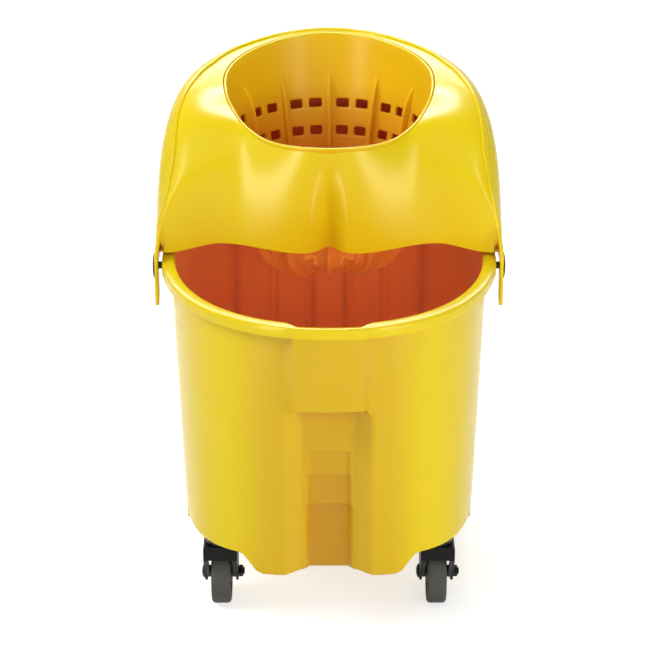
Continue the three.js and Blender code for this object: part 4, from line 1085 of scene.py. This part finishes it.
def make_cone_edge(material):
    """The rolled edge round the opening: a round section carried along the top of the cone's wall."""
    turn = np.linspace(-180, 180, 241)[:-1]
    height = opening_height(turn) - CONE_WALL / 2
    line = placed(turn, cone_inner_radius(height) + CONE_WALL / 2, height)
    round_turn = np.linspace(0, 2 * np.pi, 13)[:-1]
    outward = placed(turn, np.ones_like(turn), np.zeros_like(turn)) - [0, CONE_DEPTH, 0]
    circle = np.cos(round_turn)[:, None] * outward[:, None]
    circle[..., 2] += np.sin(round_turn)
    rings = line[:, None] + CONE_WALL / 2 * circle
    points = np.concatenate([rings, rings[:1]])
    piece = make_piece("cone_edge", [(points, grid_faces(len(points), 12, True))], material)
    return dress(piece, "hood", "amber_plastic")


def make_pivot(side, material):
    """A pivot rivet: a shank through the ear and the rim, with a lens-shaped head outside."""
    start = RIM_HALF_WIDTH - RIM_STAND_OFF
    face = HOOD_HALF_WIDTH + CONE_GAP / 2
    across = np.linspace(1, 0, 12)
    dome = PIN_HEAD_EDGE + (PIN_HEAD_HEIGHT - PIN_HEAD_EDGE) * (1 - across**2)
    shank = [(0, start), (PIN_RADIUS, start), (PIN_RADIUS, face), (PIN_HEAD_RADIUS, face)]
    profile = np.concatenate([shank, pairs(PIN_HEAD_RADIUS * across, face + dome)]) * (1, side)
    hand = "right" if side > 0 else "left"
    part = turned(profile, (0, PIVOT_DEPTH, PIVOT_HEIGHT), "x", 48)
    piece = make_piece("pivot_rivet_" + hand, [part], material)
    return dress(piece, "bucket", "bronze_steel", "pivot_pin_" + hand)


def fork_parts(x, y):
    """A pressed fork: two leg plates, a crown bent down at both sides, a front wall and the leg flanges."""
    half = FORK_WIDTH / 2
    turn = np.linspace(*FORK_END_ARC, 22) * np.pi
    leg_top = FORK_TOP - 2 * FORK_WALL
    arc = [CASTER_TRAIL, WHEEL_RADIUS] + FORK_END_RADIUS * pairs(np.cos(turn), np.sin(turn))
    shoulder = (CASTER_TRAIL + FORK_SHOULDER_REACH, mix(WHEEL_RADIUS, FORK_TOP, FORK_SHOULDER_SHARE))
    front_foot = (-FORK_REACH, FORK_TOP - FORK_FRONT_DROP)
    back_top = (FORK_REACH + FORK_BACK_LEAN, leg_top)
    leg = np.concatenate([[(-FORK_REACH, leg_top), front_foot], arc, [shoulder, back_top]]) + [y, 0]

    bend = np.linspace(0, np.pi / 2, 7)
    side, rise = half - FORK_BEND_RADIUS, FORK_TOP - FORK_BEND_RADIUS

    def bent(radius, foot):
        """A straight run up from the foot and a quarter bend of a radius."""
        curve = [side, rise] + radius * pairs(np.cos(bend), np.sin(bend))
        return np.concatenate([[(foot, FORK_TOP - 3 * FORK_WALL)], curve])

    outer = bent(FORK_BEND_RADIUS, half)
    inner = bent(FORK_BEND_RADIUS - FORK_WALL, half - FORK_WALL)
    crown = np.concatenate([outer, outer[::-1] * (-1, 1), inner * (-1, 1), inner[::-1]]) + [x, 0]

    wall_top = FORK_TOP - FORK_WALL / 2
    wall_back = -FORK_REACH + FORK_WALL
    wall = [front_foot, (-FORK_REACH, wall_top), (wall_back, wall_top), (wall_back, front_foot[1])]
    back_off = (FORK_FLANGE_WALL, 0)
    flange = [front_foot, arc[0], np.add(arc[0], back_off), np.add(front_foot, back_off)]
    wall, flange = (np.array(outline) + [y + SKIN_STEP, 0] for outline in (wall, flange))
    return [
        slab(leg, x - half + SKIN_STEP, x - half + FORK_WALL),
        slab(leg, x + half - FORK_WALL, x + half - SKIN_STEP),
        slab(crown, y - FORK_REACH, y + FORK_REACH, "y"),
        slab(wall, x - half + FORK_WALL / 2, x + half - FORK_WALL / 2),
        slab(flange, x - half + 2 * SKIN_STEP, x - half + FORK_FLANGE_WIDTH),
        slab(flange, x + half - FORK_FLANGE_WIDTH, x + half - 2 * SKIN_STEP),
    ]


def tyre_outline():
    """The tyre's section: a flat tread with round shoulders, and a small ring on each side by the hub."""
    half = WHEEL_WIDTH / 2
    turn = np.linspace(0, np.pi / 2, 7)
    shoulder = [WHEEL_RADIUS, half] - TYRE_ROUNDING * (1 - pairs(np.sin(turn), np.cos(turn)))
    ring = np.array(TYRE_RING) + [WHEEL_RADIUS * TREAD_RADIUS_SHARE, half]
    right = np.concatenate([ring, shoulder])
    return np.concatenate([right, right[::-1] * (1, -1), right[:1]])


def hub_outline():
    """The hub's section: a boss on the axle, a thin web set in on both sides, a rim under the tyre."""
    half = WHEEL_WIDTH / 2
    web = half * HUB_WEB_SHARE
    core = WHEEL_RADIUS * TREAD_RADIUS_SHARE - CONE_GAP
    side = half - HUB_RIM_INSET
    right = [(core, side), (core - HUB_RIM_WALL, side), (core - HUB_RIM_WALL - HUB_RIM_DRAFT, web),
             (HUB_RADIUS + HUB_BOSS_DRAFT, web), (HUB_RADIUS, half), (AXLE_RADIUS + RUNNING_GAP, half)]
    left = np.array(right[::-1]) * (1, -1)
    return rounded(np.concatenate([left, right]), HUB_ROUNDING)


def make_caster(name, x, y, finishes):
    """One caster: tyre, hub, bolt, nut, bearing and stem turned about their axes, and the pressed fork."""
    def fit(piece_name, parts, finish, body, slot, node, **options):
        """Makes one piece of this caster from its parts and dresses it."""
        piece = make_piece(name + piece_name, parts, finishes[finish], **options)
        return dress(piece, body, slot, name + node)

    axle = (x, y + CASTER_TRAIL, WHEEL_RADIUS)
    upright = (x, y, 0)
    swivel, wheel = name + "_swivel", name + "_wheel"
    fit("_tyre_round", [turned(tyre_outline(), axle, "x", 96)], "rubber", wheel, "grey_rubber", "_tyre")
    fit("_hub_round", [turned(hub_outline(), axle, "x", 72)], "nylon", wheel, "grey_plastic", "_wheel_hub")

    low = FORK_WIDTH / 2 + CONE_GAP
    end = low + NUT_HEIGHT + BOLT_HEAD_HEIGHT / 2
    turn = np.linspace(0, np.pi / 2, 10)
    dome = pairs(BOLT_HEAD_RADIUS * np.cos(turn), -low - BOLT_HEAD_HEIGHT * np.sin(turn))
    shank = [(0, end), (AXLE_RADIUS - BOLT_CHAMFER, end), (AXLE_RADIUS, end - BOLT_CHAMFER),
             (AXLE_RADIUS, -low)]
    bolt = turned(np.concatenate([shank, dome]), axle, "x", 40)
    fit("_bolt_round", [bolt], "black", swivel, "black_steel", "_axle_bolt")
    bore = AXLE_RADIUS + RUNNING_GAP
    high = low + NUT_HEIGHT
    nut = [(bore, low), (NUT_RADIUS, low), (NUT_RADIUS, low + NUT_SHOULDER), (NUT_TOP_RADIUS, high),
           (bore, high), (bore, low)]
    fit("_nut_hex", [turned(nut, axle, "x", 6)], "black", swivel, "black_steel", "_axle_nut", sharp=20)

    top = PAD_HEIGHT - SEAT_GAP
    collar = top - STEM_COLLAR_HEIGHT
    bore = STEM_RADIUS + RUNNING_GAP
    seat = FORK_TOP + SEAT_GAP
    bearing = [(bore, seat), (BEARING_RADIUS, seat), (BEARING_RADIUS, FORK_TOP + BEARING_SHOULDER),
               (BEARING_TOP_RADIUS, collar - SEAT_GAP), (bore, collar - SEAT_GAP)]
    bearing = turned(rounded(bearing, BEARING_ROUNDING), upright, "z", 64)
    fit("_bearing_round", [bearing], "zinc", swivel, "zinc_steel", "_swivel_bearing")

    head = FORK_TOP - FORK_WALL - SEAT_GAP
    tip = PAD_HEIGHT + STEM_LENGTH
    shank = [(STEM_RADIUS, head), (STEM_RADIUS, collar), (COLLAR_RADIUS, collar), (COLLAR_RADIUS, top),
             (STEM_RADIUS, top), (STEM_RADIUS, tip - STEM_CHAMFER), (STEM_RADIUS / 2, tip), (0, tip)]
    stem = turned(np.concatenate([np.array(STEM_HEAD) + [0, head], shank]), upright, "z", 40)
    fit("_stem_round", [stem], "zinc", "bucket", "zinc_steel", "_stem")
    fork = fit("_fork_pressed", fork_parts(x, y), "black", swivel, "black_steel", "_fork", caps=True)
    soften_edges(fork, METAL_EDGE, 2)


def linear(red, green, blue):
    """A colour of 0 to 255 values in the linear scale that the shaders use."""
    share = np.array([red, green, blue]) / 255
    low = share / 12.92
    high = ((share + 0.055) / 1.055) ** 2.4
    return (*np.where(share <= 0.04045, low, high).tolist(), 1.0)


def new_group(name, inputs, outputs):
    """A shader node group with named float, colour or vector sockets, and its ends."""
    tree = bpy.data.node_groups.new(name, "ShaderNodeTree")
    for label, kind, value in inputs:
        socket = tree.interface.new_socket(label, in_out="INPUT", socket_type=kind)
        if value is not None:
            socket.default_value = value
    for label, kind in outputs:
        tree.interface.new_socket(label, in_out="OUTPUT", socket_type=kind)
    return tree, tree.nodes.new("NodeGroupInput"), tree.nodes.new("NodeGroupOutput")


def put(tree, socket, value):
    """Gives an input a value, or links another node's output to it."""
    if isinstance(value, bpy.types.NodeSocket):
        tree.links.new(value, socket)
    else:
        socket.default_value = value


def math_node(tree, operation, first, second):
    """A math node of two numbers or sockets."""
    node = tree.nodes.new("ShaderNodeMath")
    node.operation = operation
    put(tree, node.inputs[0], first)
    put(tree, node.inputs[1], second)
    return node.outputs[0]


def ranged(tree, value, low, high, to_low=0.0, to_high=1.0):
    """A value carried from one range to another and held at its ends."""
    node = tree.nodes.new("ShaderNodeMapRange")
    tree.links.new(value, node.inputs["Value"])
    for label, number in (("From Min", low), ("From Max", high), ("To Min", to_low), ("To Max", to_high)):
        node.inputs[label].default_value = number
    return node.outputs["Result"]


def noise(tree, vector, scale, detail, roughness=0.5):
    """A noise of a scale, with a number of finer layers that each add the same share of the one before."""
    node = tree.nodes.new("ShaderNodeTexNoise")
    for label, value in (("Vector", vector), ("Scale", scale), ("Detail", detail), ("Roughness", roughness)):
        put(tree, node.inputs[label], value)
    return node.outputs["Fac"]


def make_grain_group():
    """Fine grain and slow tone changes: two noises, one at the grain's scale and one far coarser."""
    tree, start, end = new_group(
        "surface grain",
        [("Vector", "NodeSocketVector", None), ("Scale", "NodeSocketFloat", GRAIN_SCALE)],
        [("Height", "NodeSocketFloat"), ("Tone", "NodeSocketFloat")])
    fine = noise(tree, start.outputs["Vector"], start.outputs["Scale"], 2.0)
    coarse = noise(tree, start.outputs["Vector"], 14.0, 4.0, 0.6)
    tree.links.new(fine, end.inputs["Height"])
    tree.links.new(ranged(tree, coarse, 0.3, 0.7), end.inputs["Tone"])
    return tree


def make_scuff_group():
    """Scuff marks: a noise stretched along one way, kept only where it and a patchy noise are high."""
    tree, start, end = new_group(
        "scuff marks",
        [("Vector", "NodeSocketVector", None), ("Amount", "NodeSocketFloat", 0.5)],
        [("Mask", "NodeSocketFloat")])
    mapping = tree.nodes.new("ShaderNodeMapping")
    mapping.inputs["Scale"].default_value = (1.0, 1.0, 7.0)
    mapping.inputs["Rotation"].default_value = (0.4, 0.3, 0.2)
    tree.links.new(start.outputs["Vector"], mapping.inputs["Vector"])
    marks = ranged(tree, noise(tree, mapping.outputs["Vector"], 60.0, 5.0, 0.7), 0.62, 0.72)
    patches = ranged(tree, noise(tree, start.outputs["Vector"], 9.0, 2.0), 0.5, 0.7)
    both = math_node(tree, "MULTIPLY", marks, patches)
    tree.links.new(math_node(tree, "MULTIPLY", both, start.outputs["Amount"]), end.inputs["Mask"])
    return tree


def colour_mix(tree, share, first, second):
    """Mixes two colours, each a colour or a socket, by a share."""
    node = tree.nodes.new("ShaderNodeMix")
    node.data_type = "RGBA"
    put(tree, node.inputs["Factor"], share)
    put(tree, node.inputs[6], first)
    put(tree, node.inputs[7], second)
    return node.outputs[2]


def attribute(tree, name):
    """A mask that the mesh carries under a name."""
    node = tree.nodes.new("ShaderNodeAttribute")
    node.attribute_name = name
    return node.outputs["Fac"]


def start_material(name, grain, scuff, scale, amount):
    """A material with its principled shader, its grain and its scuffs placed in it."""
    material = bpy.data.materials.new(name)
    material.use_nodes = True
    tree = material.node_tree
    shader = tree.nodes["Principled BSDF"]
    place = tree.nodes.new("ShaderNodeTexCoord").outputs["Object"]
    skin = tree.nodes.new("ShaderNodeGroup")
    skin.node_tree = grain
    skin.inputs["Scale"].default_value = scale
    marks = tree.nodes.new("ShaderNodeGroup")
    marks.node_tree = scuff
    marks.inputs["Amount"].default_value = amount
    tree.links.new(place, skin.inputs["Vector"])
    tree.links.new(place, marks.inputs["Vector"])
    return material, tree, shader, skin, marks, place


def finish_surface(tree, shader, skin, marks, colour, smooth, rough, depth, mirror):
    """Links a colour, a roughness changed by tone and scuffs, the grain's bump and a mirror level."""
    tone = ranged(tree, skin.outputs["Tone"], 0.0, 1.0, smooth, rough)
    worn = math_node(tree, "MULTIPLY", marks.outputs["Mask"], 0.08)
    bump = tree.nodes.new("ShaderNodeBump")
    bump.inputs["Distance"].default_value = depth
    bump.inputs["Strength"].default_value = 0.5
    tree.links.new(skin.outputs["Height"], bump.inputs["Height"])
    put(tree, shader.inputs["Base Color"], colour)
    put(tree, shader.inputs["Roughness"], math_node(tree, "ADD", tone, worn))
    put(tree, shader.inputs["Normal"], bump.outputs["Normal"])
    put(tree, shader.inputs["Specular IOR Level"], mirror)


def glow(tree, shader, share, colour, strength):
    """A weak glow, for daylight that comes through thin plastic, where a share is high."""
    put(tree, shader.inputs["Emission Color"], colour_mix(tree, share, BLACK, colour))
    put(tree, shader.inputs["Emission Strength"], strength)


def make_yellow(grain, scuff, name, with_inside, glow_strength=0.0):
    """Satin yellow plastic with a slow change of tone and faint scuffs, and painted shade and glow where
    marked.
    """
    material, tree, shader, skin, marks, _ = start_material(name, grain, scuff, GRAIN_SCALE, 0.15)
    colour = colour_mix(tree, skin.outputs["Tone"], linear(233, 204, 18), linear(235, 207, 20))
    worn = math_node(tree, "MULTIPLY", marks.outputs["Mask"], 0.08)
    colour = colour_mix(tree, worn, colour, linear(238, 222, 96))
    if with_inside:
        # Painted shade: a deeper orange inside for its shade and bounced light, a darker orange along the
        # inner folds, and a darker yellow over the front recess and the front's middle. The glow inside is
        # painted light.
        inside = attribute(tree, "inside")
        colour = colour_mix(tree, inside, colour, linear(246, 128, 62))
        colour = colour_mix(tree, attribute(tree, "fold"), colour, linear(218, 86, 46))
        colour = colour_mix(tree, attribute(tree, "front_shade"), colour, linear(202, 147, 34))
        glow(tree, shader, inside, linear(255, 203, 122), glow_strength)
    finish_surface(tree, shader, skin, marks, colour, 0.25, 0.265, GRAIN_DEPTH, 0.2)
    return material


def make_amber(grain, scuff):
    """The cone's plastic: yellow at the opening, with painted shade warmer and darker towards the bowl,
    where a painted glow stands for light through the plastic.
    """
    start = start_material("amber plastic", grain, scuff, GRAIN_SCALE, 0.4)
    material, tree, shader, skin, marks, place = start
    parts = tree.nodes.new("ShaderNodeSeparateXYZ")
    tree.links.new(place, parts.inputs[0])
    height = parts.outputs["Z"]
    # Painted shade: warmer and darker lower down the cone, towards the bowl.
    colour = colour_mix(tree, ranged(tree, height, 0.535, 0.42), linear(240, 196, 24), linear(232, 140, 50))
    worn = math_node(tree, "MULTIPLY", marks.outputs["Mask"], 0.1)
    colour = colour_mix(tree, worn, colour, linear(236, 205, 90))
    # A painted glow low on the cone, for light through the thin plastic.
    low = ranged(tree, height, CONE_BOWL_TOP + 0.03, CONE_BOWL_TOP - 0.01)
    glow(tree, shader, low, linear(255, 178, 92), CAGE_GLOW)
    finish_surface(tree, shader, skin, marks, colour, 0.3, 0.32, GRAIN_DEPTH, 0.12)
    return material


def make_plain(grain, scuff, name, first, second, metallic, smooth, rough, scale, depth, amount):
    """A finish of two near tones with grain, scuffs and one metallic value."""
    material, tree, shader, skin, marks, _ = start_material(name, grain, scuff, scale, amount)
    colour = colour_mix(tree, skin.outputs["Tone"], linear(*first), linear(*second))
    worn = tuple(min(value + 28, 255) for value in second)
    colour = colour_mix(tree, marks.outputs["Mask"], colour, linear(*worn))
    finish_surface(tree, shader, skin, marks, colour, smooth, rough, depth, 0.15)
    shader.inputs["Metallic"].default_value = metallic
    return material


def make_floor():
    """The pale floor: near white for the camera and in reflections, and it keeps the object's shadow."""
    corners = [(-FLOOR_HALF, -FLOOR_HALF, 0), (FLOOR_HALF, -FLOOR_HALF, 0),
               (FLOOR_HALF, FLOOR_HALF, 0), (-FLOOR_HALF, FLOOR_HALF, 0)]
    mesh = bpy.data.meshes.new("floor")
    mesh.from_pydata(corners, [], [(0, 1, 2, 3)])
    material = bpy.data.materials.new("floor")
    material.use_nodes = True
    tree = material.node_tree
    shader = tree.nodes["Principled BSDF"]
    shader.inputs["Base Color"].default_value = (0.86, 0.86, 0.86, 1)
    shader.inputs["Roughness"].default_value = 0.9
    shader.inputs["Specular IOR Level"].default_value = 0.1
    path = tree.nodes.new("ShaderNodeLightPath")
    seen = math_node(tree, "MAXIMUM", path.outputs["Is Camera Ray"], path.outputs["Is Glossy Ray"])
    seen = math_node(tree, "MAXIMUM", seen, path.outputs["Is Transmission Ray"])
    away = tree.nodes.new("ShaderNodeVectorMath")
    away.operation = "LENGTH"
    tree.links.new(tree.nodes.new("ShaderNodeTexCoord").outputs["Object"], away.inputs[0])
    lift = ranged(tree, away.outputs["Value"], FLOOR_NEAR, FLOOR_FAR, FLOOR_LIFT_NEAR, FLOOR_LIFT_FAR)
    tree.links.new(math_node(tree, "MULTIPLY", seen, lift), shader.inputs["Emission Strength"])
    shader.inputs["Emission Color"].default_value = (1, 1, 1, 1)
    mesh.materials.append(material)
    floor = bpy.data.objects.new("floor", mesh)
    bpy.context.scene.collection.objects.link(floor)


def make_world():
    """A white surround for the camera and for reflections, a softer one for the light it gives."""
    world = bpy.data.worlds.new("surround")
    bpy.context.scene.world = world
    world.use_nodes = True
    tree = world.node_tree
    back = tree.nodes["Background"]
    back.inputs["Color"].default_value = (1, 1, 1, 1)
    path = tree.nodes.new("ShaderNodeLightPath")
    seen = math_node(tree, "MAXIMUM", path.outputs["Is Camera Ray"], path.outputs["Is Transmission Ray"])
    way = tree.nodes.new("ShaderNodeSeparateXYZ")
    tree.links.new(tree.nodes.new("ShaderNodeTexCoord").outputs["Generated"], way.inputs[0])
    backdrop = ranged(tree, way.outputs["Y"], -0.2, 0.5, WORLD_GLOSS_FRONT, WORLD_GLOSS_BACK)
    glossy = math_node(tree, "MULTIPLY", path.outputs["Is Glossy Ray"], backdrop)
    seen = math_node(tree, "MAXIMUM", seen, glossy)
    tree.links.new(math_node(tree, "MAXIMUM", seen, WORLD_FILL), back.inputs["Strength"])


def make_light(name, place, aim, size, radiance, mirrored, lighting):
    """A rectangular lamp of a brightness that faces a point; surfaces mirror it, are lit by it, or both."""
    lamp = bpy.data.lights.new(name, "AREA")
    lamp.shape = "RECTANGLE"
    lamp.size, lamp.size_y = size
    lamp.energy = 4 * radiance * size[0] * size[1]
    light = bpy.data.objects.new(name, lamp)
    light.location = place
    way = Vector(aim) - Vector(place)
    light.rotation_euler = way.to_track_quat("-Z", "Y").to_euler()
    light.visible_camera = False
    light.visible_glossy = mirrored
    light.visible_diffuse = lighting
    bpy.context.scene.collection.objects.link(light)


def make_camera():
    """A long lens in front of the bucket that looks 22 degrees down at it."""
    camera = bpy.data.objects.new("camera", bpy.data.cameras.new("camera"))
    camera.data.sensor_width = 36.0
    camera.data.lens = 136.99
    camera.data.shift_x = -0.00076
    camera.location = (0, -2.7741 + MIDDLE_Y, 1.4258)
    camera.rotation_euler = (math.radians(67.81), 0, 0)
    bpy.context.scene.collection.objects.link(camera)
    bpy.context.scene.camera = camera


make_camera()
grain = make_grain_group()
scuff = make_scuff_group()
yellow = make_yellow(grain, scuff, "yellow plastic", False)
yellow_bucket = make_yellow(grain, scuff, "yellow plastic of the bucket", True, INSIDE_GLOW)
yellow_hood = make_yellow(grain, scuff, "yellow plastic of the hood", True)
amber = make_amber(grain, scuff)
finishes = {key: make_plain(grain, scuff, *finish) for key, finish in PLAIN_FINISHES.items()}
make_bucket(yellow_bucket)
make_bucket_bosses(yellow_bucket)
make_hood(yellow_hood)
make_lip(yellow)
make_ears(yellow)
make_ledge(yellow)
make_cone(amber)
make_ribs(amber)
make_cone_edge(yellow)
for side in (-1, 1):
    make_pivot(side, finishes["bronze"])
for name, x, y in CASTER_PLACES:
    make_caster(name, x, y, finishes)
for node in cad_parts:
    if "spacer" in node or "clip" in node:
        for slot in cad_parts[node].material_slots:
            slot.material = finishes["zinc"]
make_floor()
make_world()
for lamp in LAMPS:
    make_light(*lamp)
bpy.context.scene.view_settings.view_transform = "Standard"
